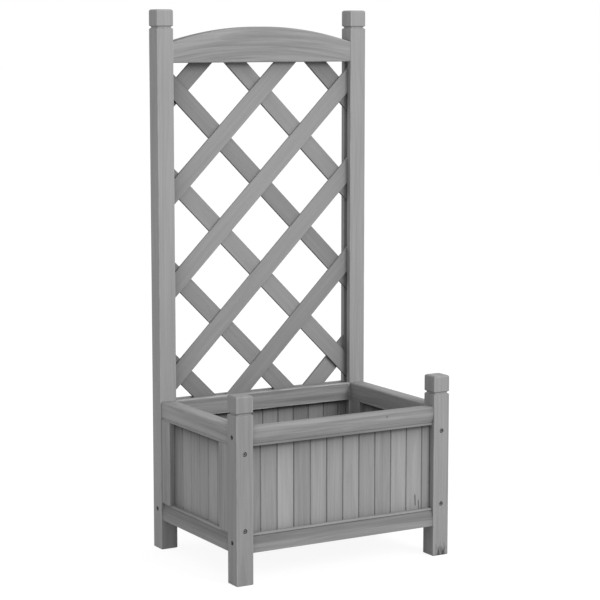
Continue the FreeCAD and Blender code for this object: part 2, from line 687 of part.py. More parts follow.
def make_lattice():
    """Build the slats in their layers, from the front one to the back one.

    The long slats reach into the grooves of the frame. The short rising slats of two
    corners lie behind the falling slats that they cross, cut to the clear opening.
    """
    count = int(value("dims.slat_count"))
    reach = "(dims.lattice_housing - dims.lattice_play)"
    grooved = (f"({CLEAR_WIDTH} / 2 + {reach})",
               f"({RIM_HEIGHT} - {reach})", f"({ARCH_FOOT} + {reach})")
    clear = (f"({CLEAR_WIDTH} / 2)", RIM_HEIGHT, ARCH_FOOT)
    first = f"({RIM_HEIGHT} - {CLEAR_WIDTH} / 2 + dims.corner_offset)"
    last = f"({ARCH_FOOT} + {CLEAR_WIDTH} / 2 - dims.corner_offset)"
    pitch = f"(({last} - {first}) / (dims.slat_count - 1))"
    length = f"({CLEAR_WIDTH} + {ARCH_FOOT} - {RIM_HEIGHT} + 4 * dims.lattice_housing)"
    layers = (("front", "rising", -45, -1, range(2, count), grooved),
              ("middle", "falling", 45, 0, range(1, count + 1), grooved),
              ("back", "rising", -45, 1, (1, count), clear))
    for layer, name, angle, step, numbers, (half, low, high) in layers:
        start = f"({LATTICE_MIDDLE} + {step} * dims.slat_thickness)"
        field = doc.addObject("Part::Box", f"{layer}_field")
        field.setExpression("Length", f"2 * {half}")
        field.setExpression("Width", "dims.slat_thickness")
        field.setExpression("Height", f"{high} - {low}")
        move(field, f"-{half}", start, low)
        for number in numbers:
            crossing = f"({first} + {number - 1} * {pitch})"
            blank = new_body(f"{name}_blank_{number}")
            section = new_sketch(blank, "YZ", "section")
            arris = "dims.slat_arris"
            across, thick = "(dims.slat_width / 2)", "dims.slat_thickness"
            draw(section, [
                (arris, f"-{across}"), (f"{thick} - {arris}", f"-{across}"),
                (thick, f"-{across} + {arris}"), (thick, f"{across} - {arris}"),
                (f"{thick} - {arris}", across), (arris, across),
                ("0", f"{across} - {arris}"), ("0", f"-{across} + {arris}")])
            pad(blank, section, length, "length", centred=True)
            blank.Placement.Rotation = turn(0, 1, 0, angle)
            move(blank, "0", start, crossing)
            slat = doc.addObject("Part::Common", f"{name}_{number}")
            slat.Base, slat.Tool = blank, field
            finish(slat, f"{name}_slat_{number}")


# --------------------------------------------------------------------------------- floor

def make_floor():
    """Build the two cleats inside the long bottom rails and the slats that lie on them."""
    cleat_top = f"({BOTTOM_RAIL_TOP} - dims.floor_drop)"
    inner_face = f"({HALF_DEPTH} - dims.rail_recess - dims.front_rail_depth)"
    cleat_length = f"({CLEAR_WIDTH} - 2 * dims.cleat_inset)"
    cleats = []
    for end in (FRONT, REAR):
        body = new_body(f"{END_NAMES[end]}_cleat")
        section = new_sketch(body, "YZ", "section")
        draw(section, flipped(rectangle("0", "0", "dims.cleat_depth", "dims.cleat_height"), -end))
        pad(body, section, cleat_length, "length", centred=True)
        move(body, y=f"{end} * {inner_face}", z=f"{cleat_top} - dims.cleat_height")
        cleats.append(body)
    pair = doc.addObject("Part::Compound", "cleat_pair")
    pair.Links = cleats
    finish(pair, "floor_cleats")
    step = "(dims.floor_slat_width + dims.floor_gap)"
    count = int(value(f"({CLEAR_WIDTH} + dims.floor_gap) / {step}"))
    slats = []
    for index in range(count):
        body = new_body(f"floor_slat_{index + 1}")
        section = new_sketch(body, "XZ", "section")
        half, arris, top = "(dims.floor_slat_width / 2)", "dims.rail_arris", "dims.floor_thickness"
        draw(section, [
            (f"-{half}", "0"), (half, "0"), (half, f"{top} - {arris}"),
            (f"{half} - {arris}", top), (f"-{half} + {arris}", top), (f"-{half}", f"{top} - {arris}")])
        pad(body, section, f"2 * ({inner_face} - dims.floor_play)", "length", centred=True)
        move(body, f"({index} - {count - 1} / 2) * {step}", "0", cleat_top)
        slats.append(body)
    floor = doc.addObject("Part::Compound", "floor")
    floor.Links = slats
    finish(floor, "floor_slats")


# ------------------------------------------------------------------------------ assembly

def make_planter():
    """Build every piece of the planter."""
    screws = make_screws()
    for side in (LEFT, RIGHT):
        for end, height in ((FRONT, "dims.front_post_height"), (REAR, "dims.overall_height")):
            bores = [screw.bore for key, screw in screws.items() if key[1:3] == (end, side)]
            make_post(side, end, height, bores)
    make_front_rails(screws)
    make_rear_top_rail()
    make_arch_rail()
    for side in (LEFT, RIGHT):
        make_side_rails(side)
        for end in (FRONT, REAR):
            make_stile(side, end, screws)
    make_panels()
    make_lattice()
    make_floor()
    for face in ("front", "rear", "side"):
        group = doc.addObject("Part::Compound", f"{face}_group")
        group.Links = [screw.screw for key, screw in screws.items() if key[0] == face]
        finish(group, f"{face}_screws")


def check_pieces():
    """Stop if any object of the document failed or any piece isn't a sound solid."""
    for item in doc.Objects:
        if {"Invalid", "Error"} & set(item.State):
            raise RuntimeError(f"{item.Label} failed: {item.State}")
    for piece in finished:
        if piece.Shape.isNull() or not piece.Shape.isValid() or not piece.Shape.Solids:
            raise RuntimeError(f"{piece.Label} isn't a sound solid")


def write_pieces():
    """Write each piece to its own file."""
    os.makedirs("parts", exist_ok=True)
    for piece in finished:
        piece.Shape.exportStep(f"parts/{piece.Label}.step")
        print(f"{piece.Label}: {len(piece.Shape.Solids)} solid(s), {piece.Shape.Volume:.0f} mm3")


make_planter()
doc.recompute()
check_pieces()
write_pieces()
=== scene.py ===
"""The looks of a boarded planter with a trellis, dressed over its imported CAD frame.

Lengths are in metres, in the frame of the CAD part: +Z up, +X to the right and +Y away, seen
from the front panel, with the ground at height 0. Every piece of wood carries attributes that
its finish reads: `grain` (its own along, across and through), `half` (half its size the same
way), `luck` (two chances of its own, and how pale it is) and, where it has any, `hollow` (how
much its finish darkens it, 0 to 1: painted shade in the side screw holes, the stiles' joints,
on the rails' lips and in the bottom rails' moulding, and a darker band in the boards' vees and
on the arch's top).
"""

import logging
import math
import random
from collections.abc import Callable, Iterator
from dataclasses import dataclass, replace
from enum import Enum

import bmesh
import bpy
from mathutils import Matrix, Vector


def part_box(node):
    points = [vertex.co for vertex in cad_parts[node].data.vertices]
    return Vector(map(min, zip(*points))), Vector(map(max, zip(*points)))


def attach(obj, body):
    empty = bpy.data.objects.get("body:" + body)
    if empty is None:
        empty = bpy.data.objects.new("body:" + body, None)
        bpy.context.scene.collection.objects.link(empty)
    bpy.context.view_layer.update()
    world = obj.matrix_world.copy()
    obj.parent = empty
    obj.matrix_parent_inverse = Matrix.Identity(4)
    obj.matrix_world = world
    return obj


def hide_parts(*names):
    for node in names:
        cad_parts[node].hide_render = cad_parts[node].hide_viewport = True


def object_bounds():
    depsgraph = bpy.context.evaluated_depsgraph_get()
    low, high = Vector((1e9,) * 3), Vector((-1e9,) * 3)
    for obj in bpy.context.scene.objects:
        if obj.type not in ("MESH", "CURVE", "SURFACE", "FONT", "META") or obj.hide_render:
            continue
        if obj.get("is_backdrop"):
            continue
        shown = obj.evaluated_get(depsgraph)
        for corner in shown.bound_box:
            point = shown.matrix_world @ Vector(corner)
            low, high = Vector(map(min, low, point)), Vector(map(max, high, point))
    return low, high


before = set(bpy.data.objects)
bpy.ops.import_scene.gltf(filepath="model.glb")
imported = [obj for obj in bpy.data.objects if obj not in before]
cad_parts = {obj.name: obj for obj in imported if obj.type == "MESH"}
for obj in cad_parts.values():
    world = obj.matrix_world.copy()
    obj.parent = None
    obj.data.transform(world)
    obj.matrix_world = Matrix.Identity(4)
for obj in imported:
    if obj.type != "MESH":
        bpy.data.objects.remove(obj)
CAD_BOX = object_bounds()
LOG = logging.getLogger("planter")
BODY = "root"
RIGHT, AWAY, UP = Vector((1, 0, 0)), Vector((0, 1, 0)), Vector((0, 0, 1))
NEAR = 0.0001
Point = tuple[float, float]
Corner = tuple[float, float, float]


# ------------------------------------------------------------------------ writing node trees

class Term:
    """A socket of a node tree, with Python's operators for its sums."""

    def __init__(self, graph: "Graph", socket: bpy.types.NodeSocket) -> None:
        """Keep the socket and the graph that adds the nodes of its sums."""
        self.graph, self.socket = graph, socket

    def __add__(self, other: object) -> "Term":
        """Return the sum."""
        return self.graph.maths("ADD", self, other)

    def __sub__(self, other: object) -> "Term":
        """Return the difference."""
        return self.graph.maths("SUBTRACT", self, other)

    def __rsub__(self, other: object) -> "Term":
        """Return the difference the other way round."""
        return self.graph.maths("SUBTRACT", other, self)

    def __mul__(self, other: object) -> "Term":
        """Return the product."""
        return self.graph.maths("MULTIPLY", self, other)

    def __truediv__(self, other: object) -> "Term":
        """Return the quotient."""
        return self.graph.maths("DIVIDE", self, other)

    def __pow__(self, other: float) -> "Term":
        """Return the power."""
        return self.graph.maths("POWER", self, other)

    def __abs__(self) -> "Term":
        """Return the size without its sign."""
        return self.graph.maths("ABSOLUTE", self)

    __radd__, __rmul__ = __add__, __mul__

    def most(self, other: object) -> "Term":
        """Return the larger of two."""
        return self.graph.maths("MAXIMUM", self, other)

    def least(self, other: object) -> "Term":
        """Return the smaller of two."""
        return self.graph.maths("MINIMUM", self, other)

    def alone(self, operation: str) -> "Term":
        """Return what a Math operation on this term alone gives, such as FRACT or SQRT."""
        return self.graph.maths(operation, self)

    def rise(self, low: object, high: object) -> "Term":
        """Return a smooth step from 0 at low to 1 at high, or down where high is below low."""
        return self.graph.add("ShaderNodeMapRange", {"interpolation_type": "SMOOTHSTEP"},
                              {0: self, 1: low, 2: high})

    def fading(self, reach: float) -> "Term":
        """Return what falls from 1 at no distance by a factor e over each reach."""
        return self.graph.maths("POWER", math.e, self / -reach).least(1.0)

    def parts(self) -> tuple["Term", "Term", "Term"]:
        """Return the three numbers of a vector."""
        split = self.graph.add("ShaderNodeSeparateXYZ", {}, {0: self}).socket.node
        return tuple(Term(self.graph, socket) for socket in split.outputs)


class Graph:
    """A node tree that is written as Python expressions."""

    def __init__(self, tree: bpy.types.NodeTree) -> None:
        """Start with an emptied tree."""
        tree.nodes.clear()
        self.tree = tree

    def add(self, kind: str, settings: dict[str, object] | None = None,
            sockets: dict[int | str, object] | None = None, out: int | str = 0) -> Term:
        """Add a node.

        Args:
            kind: The node's type.
            settings: Its settings, set before its sockets.
            sockets: Terms or plain values, by the place or name of the input.
            out: The place or name of the output wanted.

        Returns:
            The output as a term.
        """
        node = self.tree.nodes.new(kind)
        for name, setting in (settings or {}).items():
            setattr(node, name, setting)
        for place, value in (sockets or {}).items():
            socket = node.inputs[place]
            if isinstance(value, Term):
                self.tree.links.new(value.socket, socket)
            else:
                socket.default_value = value
        return Term(self, node.outputs[out]) if node.outputs else None

    def maths(self, operation: str, *terms: object) -> Term:
        """Add a Math node, or a Vector Math node where a term is a vector.

        Args:
            operation: The name of the sum.
            terms: Terms, numbers or tuples of three numbers.

        Returns:
            The result as a term.
        """
        vectors = [isinstance(term, tuple) or isinstance(term, Term)
                   and term.socket.type in {"VECTOR", "RGBA"} for term in terms]
        if not any(vectors):
            return self.add("ShaderNodeMath", {"operation": operation}, dict(enumerate(terms)))
        wide = [(term,) * 3 if isinstance(term, (int, float)) else term for term in terms]
        return self.add("ShaderNodeVectorMath", {"operation": operation}, dict(enumerate(wide)))

    def vector(self, x: object, y: object, z: object) -> Term:
        """Return a vector of three terms."""
        return self.add("ShaderNodeCombineXYZ", {}, {0: x, 1: y, 2: z})

    def mix(self, factor: object, first: object, second: object) -> Term:
        """Return a blend of two colours."""
        settings = {"data_type": "RGBA", "clamp_factor": True}
        return self.add("ShaderNodeMix", settings, {0: factor, 6: first, 7: second}, 2)

    def attribute(self, name: str, out: str = "Vector") -> Term:
        """Return what an attribute of the mesh says."""
        return self.add("ShaderNodeAttribute", {"attribute_name": name}, {}, out)

    def place(self) -> Term:
        """Return the surface's place in the part's own frame."""
        return self.add("ShaderNodeTexCoord", {}, {}, "Object")

    def noise(self, place: object, detail: float, scale: float = 1.0) -> Term:
        """Return noise around one half."""
        sockets = {"Vector": place, "Scale": scale, "Detail": detail}
        return self.add("ShaderNodeTexNoise", {}, sockets)


# ---------------------------------------------------------------------------------- finishes

def grey(shade: float) -> tuple[float, float, float, float]:
    """Return an opaque grey."""
    return (shade, shade, shade, 1.0)


def new_material(name: str) -> tuple[bpy.types.Material, Graph]:
    """Return a new material and its emptied graph.

    Args:
        name: The material's name.

    Returns:
        The material, and the graph of its nodes.
    """
    material = bpy.data.materials.new(name)
    material.use_nodes = True
    return material, Graph(material.node_tree)


class MarkKind(Enum):
    """The natural marks that a piece of wood can show."""

    KNOT = "small round knot"
    CRACK = "short split along the grain"
    STAIN = "damp streaks that rise from the end"


@dataclass(frozen=True)
class Mark:
    """A natural mark on the front of a piece, placed in the part's own frame."""

    kind: MarkKind
    x: float
    z: float
    width: float
    height: float
    strength: float = 1.0

    def share(self, graph: Graph, fibre: Term) -> Term:
        """Return where the mark darkens the wood.

        Args:
            graph: The material's graph.
            fibre: The fine noise of the grain.

        Returns:
            How dark it is, 0 to 1.
        """
        place = graph.place().parts()
        shapes = {MarkKind.KNOT: self.knot, MarkKind.CRACK: self.crack, MarkKind.STAIN: self.stain}
        return shapes[self.kind](place[0] - self.x, place[2] - self.z, fibre) * self.strength

    def knot(self, x: Term, z: Term, fibre: Term) -> Term:
        """Return a dark core in a paler ring."""
        ring = ((x / self.width) ** 2.0 + (z / self.height) ** 2.0).alone("SQRT")
        return ring.rise(1.0, 0.45) + ring.rise(2.2, 1.0) * 0.25

    def crack(self, x: Term, z: Term, fibre: Term) -> Term:
        """Return a thin line that wanders, from its middle up and down.

        Args:
            x: How far to the right of the mark.
            z: How far above it.
            fibre: The fine noise of the grain.

        Returns:
            How dark it is, 0 to 1.
        """
        wander = (fibre - 0.5) * 0.0010 + (z * 90.0).alone("SINE") * 0.0006
        line = abs(x + wander).rise(self.width, self.width * 0.3)
        return line * abs(z).rise(self.height, self.height * 0.55)

    def stain(self, x: Term, z: Term, fibre: Term) -> Term:
        """Return streaks that rise from a dark foot.

        Args:
            x: How far to the right of the mark.
            z: How far above it.
            fibre: The fine noise of the grain.

        Returns:
            How dark it is, 0 to 1.
        """
        streak = x.graph.noise(x.graph.vector(x * 560.0, 0.0, z * 90.0), 3.0)
        region = abs(x).rise(self.width, self.width * 0.2) * z.rise(self.height, 0.0)
        foot = z.rise(0.0035, 0.0) * 0.35
        return (streak + region * 0.34).rise(0.60, 0.95) * region.rise(0.0, 0.5) + foot


@dataclass(frozen=True)
class NookShade:
    """Painted shade that fades away from a plane, where a piece runs into the frame round it.

    The plane lies square to one axis of the part's own frame, and the wood is on its upper or
    lower side as `way` is 1 or -1.
    """

    axis: int
    plane: float
    way: int
    depth: float
    reach: float

    def share(self, graph: Graph) -> Term:
        """Return how much painted shade there is."""
        distance = (graph.place().parts()[self.axis] - self.plane) * self.way
        return distance.fading(self.reach) * self.depth


@dataclass(frozen=True)
class RailShadow:
    """Painted shadow on the boards beside the rails that their ends run into.

    There is some at each board's upper and lower end, beyond the length that is housed. At the
    upper end it fades over two reaches at once, up to a limit.
    """

    upper: float
    lower: float = 0.22
    housed: float = 0.0087
    wide_reach: float = 0.018
    close_reach: float = 0.004
    lower_reach: float = 0.012
    limit: float = 1.2

    def share(self, grain: Term, half: Term) -> Term:
        """Return how much painted shadow there is.

        Args:
            grain: The surface's place in the wood's own frame.
            half: Half the size of the board.

        Returns:
            The share, 0 to 1.
        """
        along, end = grain.parts()[0], half.parts()[0] - self.housed
        below = end - along
        above = (below.fading(self.wide_reach) + below.fading(self.close_reach)).least(self.limit)
        return above * self.upper + (end + along).fading(self.lower_reach) * self.lower


@dataclass(frozen=True)
class Streak:
    """Noise drawn out along the grain: how long and wide a streak is, and how strong."""

    length: float
    width: float
    detail: float
    weight: float = 1.0

    def noise(self, place: Term) -> Term:
        """Return the noise, around one half."""
        scales = (1 / self.length, 1 / self.width, 1 / self.width)
        return place.graph.noise(place * scales, self.detail)

    def swing(self, place: Term) -> Term:
        """Return the noise around zero, by its weight."""
        return (self.noise(place) - 0.5) * self.weight


FIBRE = Streak(0.030, 0.0007, 2.0)
WIDE_WARP = Streak(0.30, 0.045, 1.0, 0.034)
CLOSE_WARP = Streak(0.07, 0.010, 1.0, 0.0035)
BROAD = Streak(0.22, 0.0085, 2.0, 0.95)
MIDDLE = Streak(0.09, 0.0026, 2.0, 0.55)
PORES = Streak(0.011, 0.00045, 0.0, 0.4)
PATCHES = Streak(0.035, 0.006, 2.0)
PITH_ACROSS, PITH_THROUGH = (0.09, -0.045), (0.06, 0.022)
LUCK_SHIFT = 3.7
MEAN_SHADE = 0.60
# the dark grey that painted shade and the natural marks blend the wood towards
SHADE_AND_MARK_GREY = grey(0.035)
# where the painted shade on a slat's sides begins and ends, in from the side
SHADED_SIDE_BAND = (0.0008, 0.0001)


@dataclass(frozen=True)
class StainedWood:
    """Softwood with a thin grey stain, through which its grain shows.

    The shades are reflectances, 0 to 1, and grey; lengths are in metres.
    """

    name: str
    pale: float = 0.372
    deep: float = 0.205
    ring_gap: float = 0.0048
    ring_depth: float = 0.10
    streaks: float = 0.6
    fine: float = 0.20
    spread: float = 0.22
    worn: float = 0.47
    worn_width: float = 0.0016
    # how dark the finish makes the surface where `hollow` says: painted shade in holes, joints,
    # lips and mouldings, and a darker band in the boards' vees and on the arch's top
    grime_and_shade: float = 0.0
    # how dark a slat's sides are painted, as shade
    sides: float = 0.0
    # painted shadow on the boards' ends beside the rails
    rail_shadow: RailShadow | None = None
    # painted shade where a piece runs into the frame round it
    nook_shades: tuple[NookShade, ...] = ()
    marks: tuple[Mark, ...] = ()

    def material(self) -> bpy.types.Material:
        """Make the finish's material.

        Returns:
            The material.
        """
        material, graph = new_material(self.name)
        grain, half, luck = (graph.attribute(name) for name in ("grain", "half", "luck"))
        shifted = grain + luck * LUCK_SHIFT
        fibre = FIBRE.noise(shifted)
        shade, late = self.shade(grain, luck, shifted, fibre)
        colour = graph.mix(shade, grey(self.deep), grey(self.pale))
        colour = graph.mix(self.wear(grain, half, shifted), colour, grey(self.worn))
        for share in self.shade_and_marks(graph, grain, half, fibre):
            colour = graph.mix(share, colour, SHADE_AND_MARK_GREY)
        normal = graph.add("ShaderNodeBump", {}, {
            "Strength": 0.35, "Distance": 0.0004, "Height": fibre * 0.7 - late * 0.6})
        shader = graph.add("ShaderNodeBsdfPrincipled", {}, {
            "Base Color": colour, "Roughness": 0.70 - fibre * 0.16, "Specular IOR Level": 0.32,
            "Normal": normal})
        graph.add("ShaderNodeOutputMaterial", {}, {"Surface": shader})
        return material

    def shade(self, grain: Term, luck: Term, shifted: Term, fibre: Term) -> tuple[Term, Term]:
        """Colour the wood by its growth rings, its streaks and its pores.

        The rings are cylinders about a pith outside the piece, warped a little, so their lines
        follow the piece round its edges and show as arcs on its ends.

        Args:
            grain: The surface's place in the wood's own frame.
            luck: The piece's chances.
            shifted: That place moved by the chances, so that no two pieces are alike.
            fibre: The fine noise of the grain.

        Returns:
            How pale the stained wood is, and the dark late wood of its rings.
        """
        across, through = grain.parts()[1:]
        chances = luck.parts()
        from_pith = ((across + chances[0] * PITH_ACROSS[0] + PITH_ACROSS[1]) ** 2.0
                     + (through + chances[1] * PITH_THROUGH[0] + PITH_THROUGH[1]) ** 2.0)
        warp = WIDE_WARP.swing(shifted) + CLOSE_WARP.swing(shifted)
        turn = ((from_pith.alone("SQRT") + warp) / self.ring_gap).alone("FRACT")
        late = turn.rise(0.25, 0.92) * turn.rise(1.0, 0.93)
        pores = PORES.noise(shifted).rise(0.62, 0.78)
        shade = MEAN_SHADE + (chances[2] - 0.5) * self.spread \
            + BROAD.swing(shifted) * self.streaks + MIDDLE.swing(shifted) * self.streaks \
            + (fibre - 0.5) * self.fine - late * self.ring_depth \
            - pores * (PORES.weight * self.fine)
        return shade, late

    def wear(self, grain: Term, half: Term, shifted: Term) -> Term:
        """Rub the edges pale, as handling does.

        On a box the sum of the two smallest distances to its sides is how far the surface is
        from its nearest edge.

        Args:
            grain: The surface's place in the wood's own frame.
            half: Half the size of the piece.
            shifted: That place moved by the piece's chances.

        Returns:
            How worn the surface is, 0 to 1.
        """
        x, y, z = (half - grain.alone("ABSOLUTE")).parts()
        edge = x + y + z - x.most(y).most(z)
        patchy = PATCHES.noise(shifted).rise(0.30, 0.66)
        return edge.rise(self.worn_width, self.worn_width * 0.25) * (patchy * 0.75 + 0.15)

    def shade_and_marks(self, graph: Graph, grain: Term, half: Term, fibre: Term) -> Iterator[Term]:
        """Yield how dark the wood goes by each kind of painted shade, by its darker hollows and by
        each natural mark.

        Args:
            graph: The material's graph.
            grain: The surface's place in the wood's own frame.
            half: Half the size of the piece.
            fibre: The fine noise of the grain.

        Yields:
            A share, 0 to 1.
        """
        # painted shade, and the darker band in the vees and on the arch's top, where `hollow` says
        yield graph.attribute("hollow", "Fac") * self.grime_and_shade
        # painted shadow on the boards beside the rails
        if self.rail_shadow:
            yield self.rail_shadow.share(grain, half)
        # painted shade on the sides of the slats
        if self.sides:
            across, edge = grain.parts()[1], half.parts()[1]
            yield abs(across).rise(edge - SHADED_SIDE_BAND[0], edge - SHADED_SIDE_BAND[1]) * self.sides
        # painted shade near the frame
        for nook_shade in self.nook_shades:
            yield nook_shade.share(graph)
        for mark in self.marks:
            yield mark.share(graph, fibre)


@dataclass(frozen=True)
class CoatedSteel:
    """The dull dark coating of the screws."""

    name: str = "blacked_steel"
    deep: float = 0.012
    pale: float = 0.05

    def material(self) -> bpy.types.Material:
        """Make the finish's material.

        Returns:
            The material.
        """
        material, graph = new_material(self.name)
        speck = graph.noise(graph.place(), 2.0, 900.0)
        shader = graph.add("ShaderNodeBsdfPrincipled", {}, {
            "Base Color": graph.mix(speck, grey(self.deep), grey(self.pale)),
            "Roughness": 0.42 + speck * 0.25, "Metallic": 0.3})
        graph.add("ShaderNodeOutputMaterial", {}, {"Surface": shader})
        return material


class Finish(Enum):
    """The finishes, by the record's slot that each stands in."""

    POST = "post_wood"
    RAIL = "rail_wood"
    BOARD = "board_wood"
    SLAT = "slat_wood"
    FLOOR = "floor_wood"
    STEEL = "screw_steel"


FOOT_STAIN = Mark(MarkKind.STAIN, 0.186, 0.0, 0.019, 0.036, 0.95)
BOARD_SPLIT = Mark(MarkKind.CRACK, 0.1410, 0.097, 0.0015, 0.012, 0.9)
JOINT_SPLIT = Mark(MarkKind.CRACK, 0.1478, 0.089, 0.0011, 0.010, 0.8)
RAIL_KNOT = Mark(MarkKind.KNOT, 0.079, 0.2445, 0.0016, 0.0022, 0.45)

RECIPES = {
    # The posts' finish paints shade in the depth of the screw holes in the short sides.
    Finish.POST: StainedWood("post_wood", ring_gap=0.0055, spread=0.40, grime_and_shade=0.9),
    # The rails' finish paints shade on their lips, in the bottom rails' moulding and in the
    # stiles' joints, and darkens the arch's top.
    Finish.RAIL: StainedWood("rail_wood", pale=0.345, deep=0.185, ring_gap=0.0062, streaks=1.5,
                             fine=0.35, worn=0.31, grime_and_shade=0.6),
    # The boards' finish darkens their vees a little and paints shadow beside the rails.
    Finish.BOARD: StainedWood("board_wood", spread=0.64, streaks=0.75, grime_and_shade=0.2,
                              rail_shadow=RailShadow(0.52)),
    Finish.SLAT: StainedWood("slat_wood", ring_gap=0.006, ring_depth=0.06, streaks=0.4,
                             spread=0.45, worn_width=0.0),
    Finish.FLOOR: StainedWood("floor_wood", pale=0.33, spread=0.3),
    Finish.STEEL: CoatedSteel(),
}
ARCH_WOOD = replace(RECIPES[Finish.RAIL], name="arched_rail_wood", ring_gap=0.010, ring_depth=0.2)
# a stronger painted shadow under the rails on the side panels
SIDE_BOARDS = replace(RECIPES[Finish.BOARD], name="side_board_wood", grime_and_shade=0.0,
                      rail_shadow=RailShadow(0.68))
# Painted light: a paler copy of the screws' dark coating for the front and rear faces, against the
# dark one in the short sides.
LIT_FACE_STEEL = CoatedSteel("tinted_steel", deep=0.14, pale=0.22)
MARKED = {
    "front_post_right": replace(RECIPES[Finish.POST], name="stained_foot_wood",
                                marks=(FOOT_STAIN,)),
    "front_top_rail": replace(RECIPES[Finish.RAIL], name="knotty_rail_wood", marks=(RAIL_KNOT,)),
    # Paler, wider pale edges on this rail: partly wear, partly a painted highlight along its lit
    # top edge.
    "rear_top_rail": replace(RECIPES[Finish.RAIL], name="rubbed_rail_wood", worn=0.52,
                             worn_width=0.0026),
    "front_panel": replace(RECIPES[Finish.BOARD], name="split_board_wood",
                           marks=(BOARD_SPLIT, JOINT_SPLIT)),
    "left_panel": SIDE_BOARDS,
    "right_panel": SIDE_BOARDS,
}
PALENESS = {
    "rear_post_left": 0.75, "rear_post_right": 0.5, "front_post_left": 0.0,
    "front_post_right": 0.3, "front_top_rail": 0.15, "front_bottom_rail": 0.3,
    "left_top_rail": 0.85, "left_bottom_rail": 0.3,
}


class Palette:
    """The materials, each made when it is first asked for."""

    def __init__(self) -> None:
        """Start with none made."""
        self.made: dict[str, bpy.types.Material] = {}

    def of(self, recipe: StainedWood | CoatedSteel) -> bpy.types.Material:
        """Return the material of a recipe."""
        if recipe.name not in self.made:
            self.made[recipe.name] = recipe.material()
        return self.made[recipe.name]


PALETTE = Palette()


# ------------------------------------------------------------------------------- woodworking

def chances(name: str) -> Vector:
    """Return what belongs to a piece's name: two chances, and how pale it is."""
    draw = random.Random(name)
    return Vector((draw.random(), draw.random(), PALENESS.get(name, draw.random())))


def eased(corners: list[Corner], steps: int = 4) -> list[Point]:
    """Round the corners of an outline.

    Args:
        corners: Each corner's place and the length that its rounding takes off both sides.
        steps: How many straight runs a rounding has.

    Returns:
        The outline's points.
    """
    points: list[Point] = []
    count = len(corners)
    for index, (x, y, ease) in enumerate(corners):
        here = Vector((x, y))
        if not ease:
            points.append((x, y))
            continue
        back = (Vector(corners[index - 1][:2]) - here).normalized()
        on = (Vector(corners[(index + 1) % count][:2]) - here).normalized()
        pull = math.sqrt((1 - back.dot(on)) / 2)
        for step in range(steps + 1):
            share = step / steps
            first, last = (1 - share) ** 2, share ** 2
            whole = first + last + 2 * share * (1 - share) * pull
            points.append(tuple(here + (back * first + on * last) * (ease / whole)))
    return points


def rectangle(low: Point, high: Point, ease: float = 0.0, steps: int = 3) -> list[Point]:
    """Return the outline of a rectangle with rounded corners."""
    corners = (low, (high[0], low[1]), high, (low[0], high[1]))
    return eased([(x, y, ease) for x, y in corners], steps)


def swept(outline: list[Point], start: Vector, run: Vector, right: Vector = RIGHT,
          up: Vector = AWAY) -> bmesh.types.BMesh:
    """Draw an outline out along a straight run.

    Args:
        outline: Points in the plane of right and up.
        start: Where the outline's own origin lies at the start of the run.
        run: The way to the end of the run.
        right: The outline's first direction.
        up: The outline's second direction.

    Returns:
        A closed solid.
    """
    return lofted([[start + shift + right * x + up * y for x, y in outline]
                   for shift in (Vector(), run)])


def lofted(rings: list[list[Vector]]) -> bmesh.types.BMesh:
    """Lay a skin over rings of the same number of points.

    Args:
        rings: The sections, from one end to the other.

    Returns:
        A closed solid.
    """
    solid = bmesh.new()
    rows = [[solid.verts.new(point) for point in ring] for ring in rings]
    count = len(rows[0])
    for lower, upper in zip(rows, rows[1:]):
        for index in range(count):
            following = (index + 1) % count
            solid.faces.new((lower[index], lower[following], upper[following], upper[index]))
    solid.faces.new(list(reversed(rows[0])))
    solid.faces.new(rows[-1])
    bmesh.ops.recalc_face_normals(solid, faces=solid.faces)
    return solid


def as_object(name: str, solid: bmesh.types.BMesh) -> bpy.types.Object:
    """Put a solid in the scene.

    Args:
        name: The name of the new object.
        solid: The solid, which is used up.

    Returns:
        The object.
    """
    mesh = bpy.data.meshes.new(name)
    solid.to_mesh(mesh)
    solid.free()
    return placed(name, mesh)


def placed(name: str, data: bpy.types.ID, spot: Corner = (0.0, 0.0, 0.0),
           turn: Corner = (0.0, 0.0, 0.0)) -> bpy.types.Object:
    """Put a new object in the scene.

    Args:
        name: Its name.
        data: Its mesh, camera or lamp.
        spot: Where its origin is.
        turn: Its rotation.

    Returns:
        The object.
    """
    thing = bpy.data.objects.new(name, data)
    bpy.context.scene.collection.objects.link(thing)
    thing.location, thing.rotation_euler = spot, turn
    return thing


def joined(solids: list[bmesh.types.BMesh]) -> bmesh.types.BMesh:
    """Make several solids one.

    Args:
        solids: The solids, which are used up.

    Returns:
        The one solid.
    """
    whole = bmesh.new()
    for solid in solids:
        scrap = bpy.data.meshes.new("scrap")
        solid.to_mesh(scrap)
        solid.free()
        whole.from_mesh(scrap)
        bpy.data.meshes.remove(scrap)
    return whole


def settle(thing: bpy.types.Object) -> None:
    """Make an object's modifiers part of its mesh and take them off.

    Args:
        thing: The object.
    """
    graph = bpy.context.evaluated_depsgraph_get()
    mesh = bpy.data.meshes.new_from_object(
        thing.evaluated_get(graph), preserve_all_data_layers=True, depsgraph=graph)
    thing.modifiers.clear()
    old, thing.data = thing.data, mesh
    mesh.name = thing.name
    bpy.data.meshes.remove(old)


def carved(thing: bpy.types.Object, cutters: list[bmesh.types.BMesh]) -> None:
    """Cut solids out of an object.

    Args:
        thing: The object.
        cutters: What is cut out.
    """
    tool = as_object("carving_tool", joined(cutters))
    cut = thing.modifiers.new("carving", "BOOLEAN")
    cut.operation, cut.solver, cut.object = "DIFFERENCE", "EXACT", tool
    settle(thing)
    discard(tool)


def discard(thing: bpy.types.Object) -> None:
    """Remove a helping object and its mesh.

    Args:
        thing: The object.
    """
    mesh = thing.data
    bpy.data.objects.remove(thing)
    bpy.data.meshes.remove(mesh)


